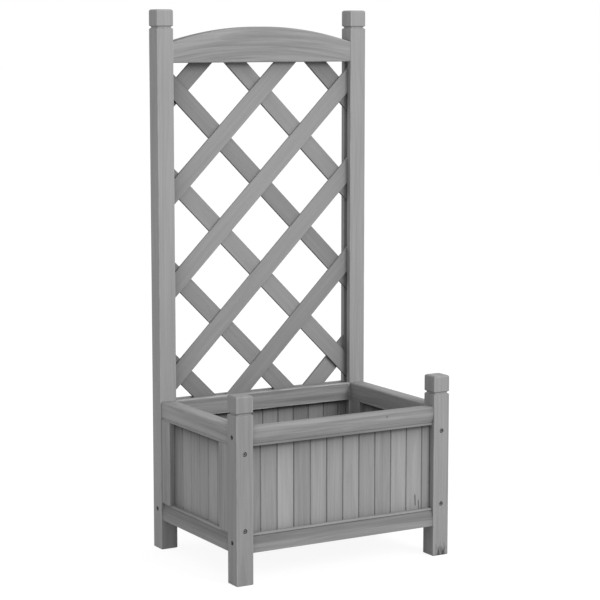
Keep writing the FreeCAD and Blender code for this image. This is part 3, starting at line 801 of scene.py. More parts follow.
def smoothed(thing: bpy.types.Object, crease: float = 32.0) -> None:
    """Shade an object smoothly except over its creases, with its flats kept flat.

    Args:
        thing: The object.
        crease: The angle, in degrees, from which an edge stays sharp.
    """
    thing.data.shade_smooth()
    thing.data.set_sharp_from_angle(angle=math.radians(crease))
    level = thing.modifiers.new("flats", "WEIGHTED_NORMAL")
    level.keep_sharp, level.weight = True, 100
    settle(thing)


@dataclass(frozen=True)
class Stock:
    """A straight piece of wood: its box, and which axes run along and across its grain."""

    low: Vector
    high: Vector
    along: int
    across: int

    def mark_out(self, mesh: bpy.types.Mesh, name: str) -> None:
        """Write the wood's own frame, half sizes and chances on a mesh.

        Args:
            mesh: The mesh.
            name: The name that its chances belong to.
        """
        order = (self.along, self.across, 3 - self.along - self.across)
        middle, half = (self.low + self.high) / 2, (self.high - self.low) / 2
        luck = chances(name)
        fields = {"grain": [], "half": [], "luck": []}
        for vertex in mesh.vertices:
            fields["grain"] += [vertex.co[axis] - middle[axis] for axis in order]
            fields["half"] += [half[axis] for axis in order]
            fields["luck"] += list(luck)
        for field, numbers in fields.items():
            mesh.attributes.new(field, "FLOAT_VECTOR", "POINT").data.foreach_set("vector", numbers)


def planed(thing: bpy.types.Object, stock: Stock, name: str,
           hollow: Callable[[Vector], float] | None = None) -> None:
    """Smooth a piece of wood and write on it what its finish reads.

    Args:
        thing: The piece.
        stock: The wood that it is cut from.
        name: The name that its chances belong to.
        hollow: A rule on how far a place lies in a hollow.
    """
    smoothed(thing)
    stock.mark_out(thing.data, name)
    if hollow:
        numbers = [max(0.0, min(1.0, hollow(vertex.co))) for vertex in thing.data.vertices]
        attribute = thing.data.attributes.new("hollow", "FLOAT", "POINT")
        attribute.data.foreach_set("value", numbers)


def hand_over(thing: bpy.types.Object, slot: Finish, nodes: list[str],
              recipe: StainedWood | CoatedSteel | None = None) -> None:
    """Give a finished object its material and body, and hide the CAD nodes that it stands for.

    Args:
        thing: The object.
        slot: Its slot in the record.
        nodes: The CAD nodes.
        recipe: Its finish, where it isn't the slot's own.
    """
    thing.data.materials.clear()
    thing.data.materials.append(PALETTE.of(recipe or RECIPES[slot]))
    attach(thing, BODY)
    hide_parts(*nodes)
    LOG.info("%s: %d faces, stands for %s", thing.name, len(thing.data.polygons), ", ".join(nodes))


def lattice_line() -> float:
    """Return how far back the middle of the lattice and of the rear posts lies."""
    low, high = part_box("rear_post_left")
    return (low.y + high.y) / 2


# ------------------------------------------------------------------------------------- posts

@dataclass
class Posts:
    """The four square posts with their cap blocks, screw holes and lattice grooves."""

    arris: float = 0.0013
    cap_height: float = 0.0265
    groove_mouth: float = 0.005
    groove_floor: float = 0.0016
    groove_depth: float = 0.0026
    groove_lip: float = 0.0003
    cap_round: float = 0.0035
    cap_steps: int = 6
    lattice_groove: float = 0.0106
    lattice_depth: float = 0.009
    hole_radius: float = 0.0039
    hole_depth: float = 0.0048
    hole_sides: int = 24

    def build(self, screws: "Screws") -> None:
        """Build and dress the posts."""
        for end in ("front", "rear"):
            for side in ("left", "right"):
                self.post(end, side, screws)

    def rings(self, low: Vector, high: Vector) -> list[list[Vector]]:
        """Work out the sections of a post from its foot to the top of its cap.

        Args:
            low: The lowest corner of its box.
            high: The highest corner of its box.

        Returns:
            The sections.
        """
        middle, top = (low + high) / 2, high.z
        upper = top - self.cap_height
        lower = upper - self.groove_mouth
        ramp, lip = (self.groove_mouth - self.groove_floor) / 2, self.groove_lip
        levels = [(0.0, self.arris), (self.arris * 0.3, self.arris * 0.4), (self.arris, 0.0),
                  (lower - lip, 0.0), (lower + lip / 2, lip), (lower + ramp, self.groove_depth),
                  (upper - ramp, self.groove_depth), (upper - lip / 2, lip), (upper + lip, 0.0)]
        for step in range(self.cap_steps + 1):
            angle = math.pi / 2 * step / self.cap_steps
            levels.append((top - self.cap_round * (1 - math.sin(angle)),
                           self.cap_round * (1 - math.cos(angle))))
        rings = []
        for height, inset in levels:
            reach = (high.x - low.x) / 2 - inset
            outline = rectangle((-reach, -reach), (reach, reach), self.arris, 4)
            rings.append([Vector((middle.x + x, middle.y + y, height)) for x, y in outline])
        return rings

    def post(self, end: str, side: str, screws: "Screws") -> None:
        """Build and dress one post.

        Args:
            end: Whether it is at the front or the rear.
            side: Whether it is on the left or the right.
            screws: The screws that its holes are for.
        """
        node = f"{end}_post_{side}"
        low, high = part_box(node)
        thing = as_object(f"{end}_{side}_post", lofted(self.rings(low, high)))
        holes = [(place, inwards) for place, inwards in screws.places()
                 if low.x <= place.x <= high.x and low.y <= place.y <= high.y]
        cutters = [self.hole(place, inwards) for place, inwards in holes]
        if end == "rear":
            cutters.append(self.groove(low, high, side))
        carved(thing, cutters)

        # Painted shade: the finish darkens the depth of the holes in the short sides.
        def hollow(point: Vector) -> float:
            """Return 1 in the depth of a hole on a short side of the box, and 0 elsewhere."""
            return float(any(
                abs(inwards.x) > 0.5
                and self.hole_depth / 2 < (point - place).dot(inwards) < self.hole_depth * 1.1
                and (point - place).cross(inwards).length < self.hole_radius * 1.1
                for place, inwards in holes))

        planed(thing, Stock(low, high, 2, 0), node, hollow)
        hand_over(thing, Finish.POST, [node], MARKED.get(node))

    def hole(self, place: Vector, inwards: Vector) -> bmesh.types.BMesh:
        """Make the round hole that a screw head is sunk in.

        Args:
            place: Where it meets the surface.
            inwards: The way that the screw goes in.

        Returns:
            What is cut away.
        """
        solid = bmesh.new()
        turned = inwards.to_track_quat("Z", "Y").to_matrix().to_4x4()
        bmesh.ops.create_cone(
            solid, cap_ends=True, segments=self.hole_sides, radius1=self.hole_radius,
            radius2=self.hole_radius, depth=self.hole_depth * 2,
            matrix=Matrix.Translation(place) @ turned)
        return solid

    def groove(self, low: Vector, high: Vector, side: str) -> bmesh.types.BMesh:
        """Make the groove up a rear post's inner face.

        Args:
            low: The lowest corner of the post's box.
            high: The highest corner of the post's box.
            side: Whether the post is on the left or the right.

        Returns:
            What is cut away.
        """
        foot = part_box("rear_top_rail")[1].z - self.lattice_depth
        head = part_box("arch_rail")[0].z + self.lattice_depth
        half = self.lattice_groove / 2
        outline = rectangle((-self.lattice_depth, -half), (self.lattice_depth, half))
        inner = high.x if side == "left" else low.x
        return swept(outline, Vector((inner, lattice_line(), foot)), UP * (head - foot))


# ------------------------------------------------------------------------------------- rails

@dataclass
class BoxRails:
    """The moulded rails and the stiles that hold the boards of the planting box.

    The sizes from `edge_hollow` on say where painted shade darkens the rails: on the lips of the
    bottom and top rails, in the hollow of the bottom rails' moulding, and at all ends.
    """

    arris: float = 0.001
    front_round: float = 0.005
    back_round: float = 0.008
    side_round: float = 0.0025
    groove_round: float = 0.0005
    band_height: float = 0.015
    band_depth: float = 0.004
    quirk_height: float = 0.005
    quirk_depth: float = 0.0016
    lip_height: float = 0.0032
    lip_share: float = 0.5
    lip_edge: float = 0.0004
    lip_slant: float = 0.45
    board_near: float = 0.00925
    board_far: float = 0.01775
    board_housing: float = 0.008
    lattice_groove: float = 0.0106
    lattice_depth: float = 0.009
    band_steps: int = 10
    edge_hollow: float = 0.2
    step_hollow: tuple[float, float] = (0.42, 0.15)
    band_hollow: tuple[float, float] = (0.75, 0.69)
    hollow_start: float = 0.010
    hollow_end: float = 0.017
    joint: float = 0.0012
    # painted shade at each end of a rail, where it meets a post
    end_shade: float = 0.3
    end_reach: float = 0.005

    def build(self) -> None:
        """Build and dress the rails and stiles."""
        quirk, side = (self.quirk_height, self.quirk_depth), self.side_round
        self.rail("front_top_rail", 0, self.top_section(
            "front_top_rail", (self.band_height, self.band_depth), self.front_round,
            self.back_round))
        self.rail("rear_top_rail", 0, self.rear_top_section(quirk))
        for node in ("front_bottom_rail", "rear_bottom_rail"):
            self.rail(node, 0, self.bottom_section(node))
        for hand in ("left", "right"):
            node = f"{hand}_top_rail"
            self.rail(node, 1, self.top_section(node, quirk, side, side))
            node = f"{hand}_bottom_rail"
            self.rail(node, 1, self.bottom_section(node))
            for end in ("front", "rear"):
                self.stile(hand, end)

    def foot(self, band: Point, slant: float = 0.0) -> list[Corner]:
        """Work out the moulded face above the boards, the lip and the groove of the boards.

        Args:
            band: How high and how deep the curve of the moulding is.
            slant: How far the lip leans inwards, as a share of that depth.

        Returns:
            The corners, inwards and upwards from the outer foot.
        """
        height, depth = band
        radius = (height ** 2 + depth ** 2) / (2 * depth)
        sweep = math.asin(height / radius)
        face = []
        for step in range(self.band_steps + 1):
            angle = sweep * step / self.band_steps
            face.append((radius * (1 - math.cos(angle)),
                         self.lip_height + height - radius * math.sin(angle)))
        lip = depth * self.lip_share
        face += [(lip + self.lip_edge, self.lip_height), (lip, self.lip_height - self.lip_edge),
                 (lip + depth * slant, 0.0),
                 (self.board_near, 0.0), (self.board_near, self.board_housing),
                 (self.board_far, self.board_housing), (self.board_far, 0.0)]
        return [(x, y, 0.0) for x, y in face]

    def top_section(self, node: str, band: Point, front: float, back: float) -> list[Point]:
        """Work out the section of a top rail.

        Args:
            node: The rail's node.
            band: How high and how deep the curve of its moulding is.
            front: The rounding of its upper outer edge.
            back: The rounding of its upper inner edge.

        Returns:
            The points, inwards and upwards from its outer foot.
        """
        depth, height = self.size(node)
        return eased(self.foot(band) + [
            (depth, 0.0, self.arris), (depth, height, back), (0.0, height, front)], 8)

    def bottom_section(self, node: str) -> list[Point]:
        """Work out the section of a bottom rail, a moulded top rail upside down.

        Args:
            node: The rail's CAD node.

        Returns:
            The section's points.
        """
        depth, height = self.size(node)
        corners = self.foot((self.band_height, self.band_depth), self.lip_slant) + [
            (depth, 0.0, self.arris), (depth, height, self.arris), (0.0, height, self.arris)]
        return [(x, height - y) for x, y in eased(corners)]

    def rear_top_section(self, band: Point) -> list[Point]:
        """Work out the section of the rear top rail, with the lattice's groove in its top.

        Args:
            band: How high and how deep the curve of its moulding is.

        Returns:
            The points, inwards and upwards from its outer foot.
        """
        depth, height = self.size("rear_top_rail")
        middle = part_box("rear_top_rail")[1].y - lattice_line()
        near, far = middle - self.lattice_groove / 2, middle + self.lattice_groove / 2
        floor = height - self.lattice_depth
        return eased(self.foot(band) + [
            (depth, 0.0, self.arris), (depth, height, self.side_round),
            (far, height, self.groove_round), (far, floor, 0.0), (near, floor, 0.0),
            (near, height, self.groove_round), (0.0, height, self.side_round)], 6)

    @staticmethod
    def size(node: str) -> Point:
        """Return a rail's depth and height."""
        low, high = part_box(node)
        return min(high.x - low.x, high.y - low.y), high.z - low.z

    def rail(self, node: str, along: int, section: list[Point]) -> None:
        """Build and dress a rail.

        Args:
            node: Its node.
            along: The axis that it lies along.
            section: Its section, inwards and upwards from its outer foot.
        """
        low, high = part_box(node)
        across, start, run, inwards = 1 - along, low.copy(), Vector(), Vector()
        run[along] = high[along] - low[along]
        far = low[across] > 0
        start[across], inwards[across] = (high[across], -1) if far else (low[across], 1)
        thing = as_object(f"moulded_{node}", swept(section, start, run, inwards, UP))
        top = "top" in node

        def hollow(place: Vector) -> float:
            """Return how much painted shade darkens a place."""
            away = (place.z - low.z if top else high.z - place.z) - self.lip_height
            return self.hollow(top, along, away, (place - start).dot(inwards))

        planed(thing, Stock(low, high, along, 2), node, hollow)
        # painted shade at both ends, against the posts
        ends = tuple(NookShade(along, end, way, self.end_shade, self.end_reach)
                     for end, way in ((low[along], 1), (high[along], -1)))
        plain = MARKED.get(node, RECIPES[Finish.RAIL])
        hand_over(thing, Finish.RAIL, [node], replace(plain, name=f"{node}_wood", nook_shades=ends))

    def hollow(self, top: bool, along: int, away: float, inset: float) -> float:
        """Work out how much painted shade darkens a rail on its lip and in the hollow of its
        moulding.

        Args:
            top: Whether it is a top rail.
            along: The axis that it lies along.
            away: How far the place is from the edge of the lip, away from the boards.
            inset: How far it is behind the rail's outer face.

        Returns:
            The share, 1 at most.
        """
        if inset > self.band_depth + self.lip_edge + NEAR:
            return 0.0
        if top:
            return self.step_hollow[along] * (away < NEAR)
        if away < -NEAR:
            return self.edge_hollow * (along == 0 and away > -self.lip_height / 2)
        fall = (self.hollow_end - away) / (self.hollow_end - self.hollow_start)
        return self.band_hollow[along] * min(1.0, fall)

    def stile(self, side: str, end: str) -> None:
        """Build and dress the stile beside one post.

        Args:
            side: Whether it is on the left or the right.
            end: Whether it is at the front or the rear.
        """
        node = f"{side}_{end}_stile"
        low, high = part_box(node)
        foot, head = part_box(f"{side}_bottom_rail")[1].z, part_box(f"{side}_top_rail")[0].z
        depth, width = high.x - low.x, high.y - low.y
        near, far, floor = self.board_near, self.board_far, width - self.board_housing
        corners = [(0.0, 0.0, 0.0), (depth, 0.0, 0.0), (depth, width, self.arris),
                   (far, width, 0.0), (far, floor, 0.0), (near, floor, 0.0), (near, width, 0.0),
                   (near - self.joint, width, 0.0), (0.0, width, self.arris),
                   (0.0, self.joint, 0.0)]
        right, rear = side == "right", end == "rear"
        start = Vector((high.x if right else low.x, high.y if rear else low.y, foot))
        thing = as_object(f"panel_{node}", swept(
            eased(corners), start, UP * (head - foot), -RIGHT if right else RIGHT,
            -AWAY if rear else AWAY))

        # Painted shade along the stile's joints with the post and with the first board.
        def hollow(place: Vector) -> float:
            """Return 1 in the joints with the post and with the first board, and 0 elsewhere."""
            inwards, across = abs(place.x - start.x), abs(place.y - start.y)
            return float((inwards < NEAR and across < NEAR)
                         or (abs(inwards - near) < NEAR and width - across < NEAR))

        planed(thing, Stock(low, high, 2, 1), node, hollow)
        hand_over(thing, Finish.RAIL, [node])


@dataclass
class ArchRail:
    """The arched rail over the lattice."""

    end_height: float = 0.034
    rise: float = 0.0253
    edge: float = 0.002
    groove: float = 0.0106
    groove_depth: float = 0.009
    grain_bend: float = 0.6
    face_hollow: float = 0.7
    steps: int = 48

    def build(self) -> None:
        """Build and dress the rail, with a grain that bends with it."""
        node = "arch_rail"
        low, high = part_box(node)
        half, depth = (high.x - low.x) / 2, high.y - low.y
        radius = (half ** 2 + self.rise ** 2) / (2 * self.rise)
        middle = lattice_line() - low.y
        near, far = middle - self.groove / 2, middle + self.groove / 2
        rings = []
        for step in range(self.steps + 1):
            x = -half + 2 * half * step / self.steps
            top = self.end_height + self.rise - radius + math.sqrt(radius ** 2 - x ** 2)
            outline = eased([
                (0.0, 0.0, self.edge), (near, 0.0, 0.0), (near, self.groove_depth, 0.0),
                (far, self.groove_depth, 0.0), (far, 0.0, 0.0), (depth, 0.0, self.edge),
                (depth, top, self.edge), (0.0, top, self.edge)])
            rings.append([Vector((x, low.y + y, low.z + z)) for y, z in outline])
        thing = as_object("arched_trellis_rail", lofted(rings))

        def hollow(place: Vector) -> float:
            """Return where the top of the rail is darkened, between its rounded edges."""
            inner = low.y + self.edge * 0.9 < place.y < high.y - self.edge * 0.9
            return self.face_hollow * (inner and place.z > low.z + self.groove_depth * 2)

        planed(thing, Stock(low, high, 0, 2), node, hollow)
        grain = thing.data.attributes["grain"].data
        for item in grain:
            x, across, through = item.vector
            drop = radius - math.sqrt(max(radius ** 2 - x ** 2, 0.0))
            item.vector = (x, across + drop * self.grain_bend, through)
        hand_over(thing, Finish.RAIL, [node], ARCH_WOOD)


# --------------------------------------------------------------------- what repeats, by nodes

class Recurring:
    """A geometry tree with named inputs, run on a blank solid to make a row of pieces."""

    def __init__(self, name: str) -> None:
        """Start the tree with its way in, its way out and an input for the material.

        Args:
            name: The tree's name.
        """
        self.tree = bpy.data.node_groups.new(name, "GeometryNodeTree")
        self.graph = Graph(self.tree)
        self.socket("Geometry", "Geometry", "INPUT")
        self.socket("Geometry", "Geometry", "OUTPUT")
        self.way_in = self.tree.nodes.new("NodeGroupInput")
        self.way_out = self.tree.nodes.new("NodeGroupOutput")
        self.inputs(Material="Material")

    def socket(self, name: str, kind: str, way: str) -> None:
        """Add a named socket to the tree's own face."""
        self.tree.interface.new_socket(name=name, in_out=way, socket_type=f"NodeSocket{kind}")

    def inputs(self, **kinds: str) -> list[Term]:
        """Add named inputs, with underscores read as spaces.

        Args:
            kinds: The kind of socket, by the name of the input.

        Returns:
            The inputs as terms.
        """
        names = [name.replace("_", " ") for name in kinds]
        for name, kind in zip(names, kinds.values()):
            self.socket(name, kind, "INPUT")
        return [self.input(name) for name in names]

    def input(self, name: str) -> Term:
        """Return one named input as a term."""
        return Term(self.graph, self.way_in.outputs[name])

    def store(self, geometry: Term, name: str, value: Term, kind: str = "FLOAT_VECTOR") -> Term:
        """Write a named value, a vector unless its kind says otherwise, on a geometry's points."""
        return self.graph.add("GeometryNodeStoreNamedAttribute", {"data_type": kind},
                              {"Geometry": geometry, "Name": name, "Value": value})

    def stored(self, name: str) -> Term:
        """Return a named vector of the points."""
        return self.graph.add("GeometryNodeInputNamedAttribute", {"data_type": "FLOAT_VECTOR"},
                              {"Name": name})

    def chance(self, number: Term, seed: Term) -> Term:
        """Return a vector of three chances for each number."""
        return self.graph.add("FunctionNodeRandomValue", {"data_type": "FLOAT_VECTOR"}, {
            0: (0.0, 0.0, 0.0), 1: (1.0, 1.0, 1.0), "ID": number, "Seed": seed})

    def position(self) -> tuple[Term, Term, Term]:
        """Return the place of each point."""
        return self.graph.add("GeometryNodeInputPosition").parts()

    def finish(self, geometry: Term) -> None:
        """End the tree: realise what is left of instances, then set the material.

        Args:
            geometry: What the tree makes.
        """
        plain = self.graph.add("GeometryNodeRealizeInstances", {}, {0: geometry})
        dressed = self.graph.add("GeometryNodeSetMaterial", {}, {
            "Geometry": plain, "Material": self.input("Material")})
        self.tree.links.new(dressed.socket, self.way_out.inputs[0])

    def run(self, name: str, blank: bmesh.types.BMesh, recipe: StainedWood | CoatedSteel,
            **values: object) -> bpy.types.Object:
        """Run the tree on a blank and take the modifier off.

        Args:
            name: The new object's name.
            blank: The solid that the tree repeats.
            recipe: The finish of the pieces.
            values: What its named inputs are set to, with underscores for spaces.

        Returns:
            The result as a plain, smooth object.
        """
        thing = as_object(name, blank)
        modifier = thing.modifiers.new(self.tree.name, "NODES")
        modifier.node_group = self.tree
        values["Material"] = PALETTE.of(recipe)
        for item in self.tree.interface.items_tree:
            key = item.name.replace(" ", "_")
            if item.in_out == "INPUT" and key in values:
                modifier[item.identifier] = values[key]
        settle(thing)
        smoothed(thing)
        return thing


def board_row() -> Recurring:
    """Make the tree that sets boards side by side between two ends.

    The blank is one board of the width `Blank`, along +Z from the origin, centred across. The
    first and the last board are ripped to what the joints leave for them, and the last loses
    its tongue. Each board may stand a hair proud of or behind its neighbours.

    Returns:
        The tree.
    """
    row = Recurring("board_row")
    graph = row.graph
    count, seed, start, stop, first, last = row.inputs(
        Boards="Int", Seed="Int", Left_End="Float", Right_End="Float",
        First_Joint="Float", Last_Joint="Float")
    blank, gap, length, depth, uneven, vee, turn, place = row.inputs(
        Blank="Float", Gap="Float", Length="Float", Depth="Float", Unevenness="Float",
        Vee="Float", Turn="Vector", Place="Vector")
    number = graph.add("GeometryNodeInputIndex")
    pitch = (last - first) / (count - 2)
    is_first = graph.maths("LESS_THAN", number, 0.5)
    is_last = graph.maths("GREATER_THAN", number, count - 1.5)
    left = first + (number - 1) * pitch
    left = left + (start - left) * is_first
    right = first + number * pitch
    right = right + (stop - right) * is_last
    points = graph.add("GeometryNodeMeshLine", {}, {"Count": count, "Offset": (0.0, 0.0, 0.0)})
    points = row.store(points, "luck", row.chance(number, seed))
    points = row.store(points, "span", graph.vector(left, right, is_last))
    boards = graph.add("GeometryNodeInstanceOnPoints", {}, {
        "Points": points, "Instance": row.input("Geometry")})
    boards = graph.add("GeometryNodeRealizeInstances", {}, {0: boards})
    left, right, is_last = row.stored("span").parts()
    x, y, z = row.position()
    half = (right - left - gap) / 2
    across = (x + x.alone("SIGN") * (half - blank / 2)).least(half + (1 - is_last))
    middle = (left + right) / 2
    proud = (row.stored("luck").parts()[2] - 0.5) * uneven
    boards = graph.add("GeometryNodeSetPosition", {}, {
        "Geometry": boards, "Position": graph.vector(across + middle, y + proud, z)})
    x, y, z = row.position()
    boards = row.store(boards, "grain", graph.vector(z - length / 2, x - middle, y - depth / 2))
    boards = row.store(boards, "half", graph.vector(length / 2, half, depth / 2))
    # the vees, which the boards' finish darkens a little
    boards = row.store(boards, "hollow", abs(x - middle).rise(half - vee, half), "FLOAT")
    boards = graph.add("GeometryNodeMergeByDistance", {}, {
        "Geometry": boards, "Distance": 0.000002})
    row.finish(graph.add("GeometryNodeTransform", {}, {
        "Geometry": boards, "Translation": place, "Rotation": turn}))
    return row


def crossed_slats() -> Recurring:
    """Make the tree that lays one layer of slanting slats, trimmed to the field they fill.

    The blank is one slat along Z, centred on the origin. Its rows cross x = 0 at even steps
    upwards, and lean by `Lean` about Y.

    Returns:
        The tree.
    """
    layer = Recurring("crossed_slats")
    graph = layer.graph
    count, seed, first, pitch, lean, level = layer.inputs(
        Slats="Int", Seed="Int", First_Crossing="Float", Pitch="Float", Lean="Float",
        Level="Float")
    width, depth, length, field, middle = layer.inputs(
        Width="Float", Depth="Float", Length="Float", Field="Vector", Field_Middle="Vector")
    points = graph.add("GeometryNodeMeshLine", {}, {
        "Count": count, "Start Location": graph.vector(0.0, level, first),
        "Offset": graph.vector(0.0, 0.0, pitch)})
    slats = graph.add("GeometryNodeInstanceOnPoints", {}, {
        "Points": points, "Instance": layer.input("Geometry"),
        "Rotation": graph.vector(0.0, lean, 0.0)})
    slats = graph.add("GeometryNodeRealizeInstances", {}, {0: slats})
    block = graph.add("GeometryNodeMeshCube", {}, {"Size": field})
    block = graph.add("GeometryNodeTransform", {}, {"Geometry": block, "Translation": middle})
    slats = graph.add("GeometryNodeMeshBoolean", {"operation": "INTERSECT", "solver": "EXACT"}, {
        "Mesh 2": slats})
    graph.tree.links.new(block.socket, slats.socket.node.inputs["Mesh 2"])
    x, y, z = layer.position()
    sine, cosine = lean.alone("SINE"), lean.alone("COSINE")
    number = ((z - first - x * cosine / sine) / pitch).alone("ROUND")
    height = z - first - number * pitch
    grain = graph.vector(x * sine + height * cosine, x * cosine - height * sine, y - level)
    slats = layer.store(slats, "luck", layer.chance(number, seed))
    slats = layer.store(slats, "grain", grain)
    slats = layer.store(slats, "half", graph.vector(length / 2, width / 2, depth / 2))
    layer.finish(slats)
    return layer


def sunk_screws() -> Recurring:
    """Make the tree that sets a screw at each point of a cloud, turned the way it goes in.

    The blank is one screw along Z. The cloud's attribute `inwards` says which way each goes in,
    and each is turned by chance about its own axis.

    Returns:
        The tree.
    """
    group = Recurring("sunk_screws")
    graph = group.graph
    cloud, seed = group.inputs(Cloud="Object", Seed="Int")
    points = graph.add("GeometryNodeObjectInfo", {}, {"Object": cloud}, "Geometry")
    facing = graph.add("FunctionNodeAlignRotationToVector", {"axis": "Z"}, {
        "Vector": group.stored("inwards")})
    spin = graph.add("FunctionNodeRandomValue", {"data_type": "FLOAT"}, {
        2: 0.0, 3: math.tau, "Seed": seed}, 1)
    facing = graph.add("FunctionNodeRotateRotation", {"rotation_space": "LOCAL"}, {
        "Rotation": facing, "Rotate By": graph.vector(0.0, 0.0, spin)})
    group.finish(graph.add("GeometryNodeInstanceOnPoints", {}, {
        "Points": points, "Instance": group.input("Geometry"), "Rotation": facing}))
    return group


# ------------------------------------------------------------------------------------ boards

@dataclass
class BoardPanels:
    """The tongue-and-groove boards of the four sides."""

    thickness: float = 0.008
    vee: float = 0.0013
    soft: float = 0.0003
    gap: float = 0.0004
    tongue: float = 0.004
    tongue_thickness: float = 0.0026
    play: float = 0.00025
    blank: float = 0.020
    unevenness: float = 0.0003
    long_count: int = 12
    short_count: int = 6
    seeds: tuple[int, int, int, int] = (3978, 4, 3307, 9)

    def build(self, row: Recurring) -> None:
        """Build and dress the four panels.

        Args:
            row: The tree that repeats a board.
        """
        front, left, right = (
            [f"{side}_board_{number + 1:02d}" for number in range(count)] for side, count in (
                ("front", self.long_count), ("left", self.short_count),
                ("right", self.short_count)))
        along = self.ends(front, 0)
        quarter = math.pi / 2
        self.panel(row, "front_panel", front, along, 0.0, self.seeds[0])
        self.panel(row, "rear_panel", ["rear_boards"], self.mirrored(along), 2 * quarter,
                   self.seeds[1])
        self.panel(row, "left_panel", left, self.mirrored(self.ends(left, 1)), -quarter,
                   self.seeds[2])
        self.panel(row, "right_panel", right, self.ends(right, 1), quarter, self.seeds[3])

    def ends(self, nodes: list[str], axis: int) -> tuple[float, ...]:
        """Measure a panel along one axis.

        Args:
            nodes: Its boards.
            axis: The axis.

        Returns:
            Its two ends, and its first and last joint.
        """
        start, first, last = (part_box(nodes[index])[0][axis] for index in (0, 1, -1))
        return start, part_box(nodes[-1])[1][axis], first - self.gap / 2, last - self.gap / 2

    @staticmethod
    def mirrored(ends: tuple[float, ...]) -> tuple[float, ...]:
        """Return a panel's ends and joints as they lie when it is turned to face the other way."""
        return tuple(-ends[index] for index in (1, 0, 3, 2))

    def section(self) -> list[Point]:
        """Work out a blank board's section.

        Returns:
            The points, across and inwards from its outer face.
        """
        half, deep, vee, soft = self.blank / 2, self.thickness, self.vee, self.soft
        middle, floor = deep / 2, -self.blank / 2 + self.tongue + self.gap
        tongue, groove = self.tongue_thickness / 2, self.tongue_thickness / 2 + self.play
        corners = [
            (-half + vee, 0.0, soft), (half - vee, 0.0, soft), (half, vee, soft),
            (half, middle - tongue, 0.0), (half + self.tongue, middle - tongue, soft),
            (half + self.tongue, middle + tongue, soft), (half, middle + tongue, 0.0),
            (half, deep - vee, soft), (half - vee, deep, soft), (-half + vee, deep, soft),
            (-half, deep - vee, soft), (-half, middle + groove, 0.0),
            (floor, middle + groove, 0.0), (floor, middle - groove, 0.0),
            (-half, middle - groove, 0.0), (-half, vee, soft)]
        return eased(corners, 2)

    def panel(self, row: Recurring, name: str, nodes: list[str], ends: tuple[float, ...],
              turn: float, seed: int) -> None:
        """Build and dress one panel.

        Args:
            row: The tree that repeats a board.
            name: The panel's name.
            nodes: The CAD nodes that it stands for.
            ends: Its two ends and its first and last joint, along the panel.
            turn: How far it is turned about the upright axis.
            seed: The seed of its boards' chances.
        """
        low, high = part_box(nodes[0])[0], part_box(nodes[-1])[1]
        length = high.z - low.z
        outwards = (math.sin(turn), -math.cos(turn))
        axis = 0 if abs(outwards[0]) > abs(outwards[1]) else 1
        face = Vector((0.0, 0.0, low.z))
        face[axis] = (high if outwards[axis] > 0.0 else low)[axis]
        thing = row.run(
            f"{name}_boards", swept(self.section(), Vector(), UP * length),
            RECIPES[Finish.BOARD], Boards=self.long_count if axis else self.short_count, Seed=seed,
            Left_End=ends[0], Right_End=ends[1], First_Joint=ends[2], Last_Joint=ends[3],
            Blank=self.blank, Gap=self.gap, Length=length, Depth=self.thickness,
            Unevenness=self.unevenness, Vee=self.vee, Turn=(0.0, 0.0, turn), Place=tuple(face))
        hand_over(thing, Finish.BOARD, nodes, MARKED.get(name))


# ----------------------------------------------------------------------------------- lattice

@dataclass(frozen=True)
class Layer:
    """One layer of the lattice.

    Its slats rise or fall to the right, and are numbered from below. Its wood is by so much
    paler than plain, less so on the falling layer, partly as painted shade of the layer in front
    and partly as its own tone; its sides are darkened by so much, 0 to 1, as painted shade.
    """

    name: str
    way: str
    numbers: range
    seed: int
    paleness: float
    sides: float


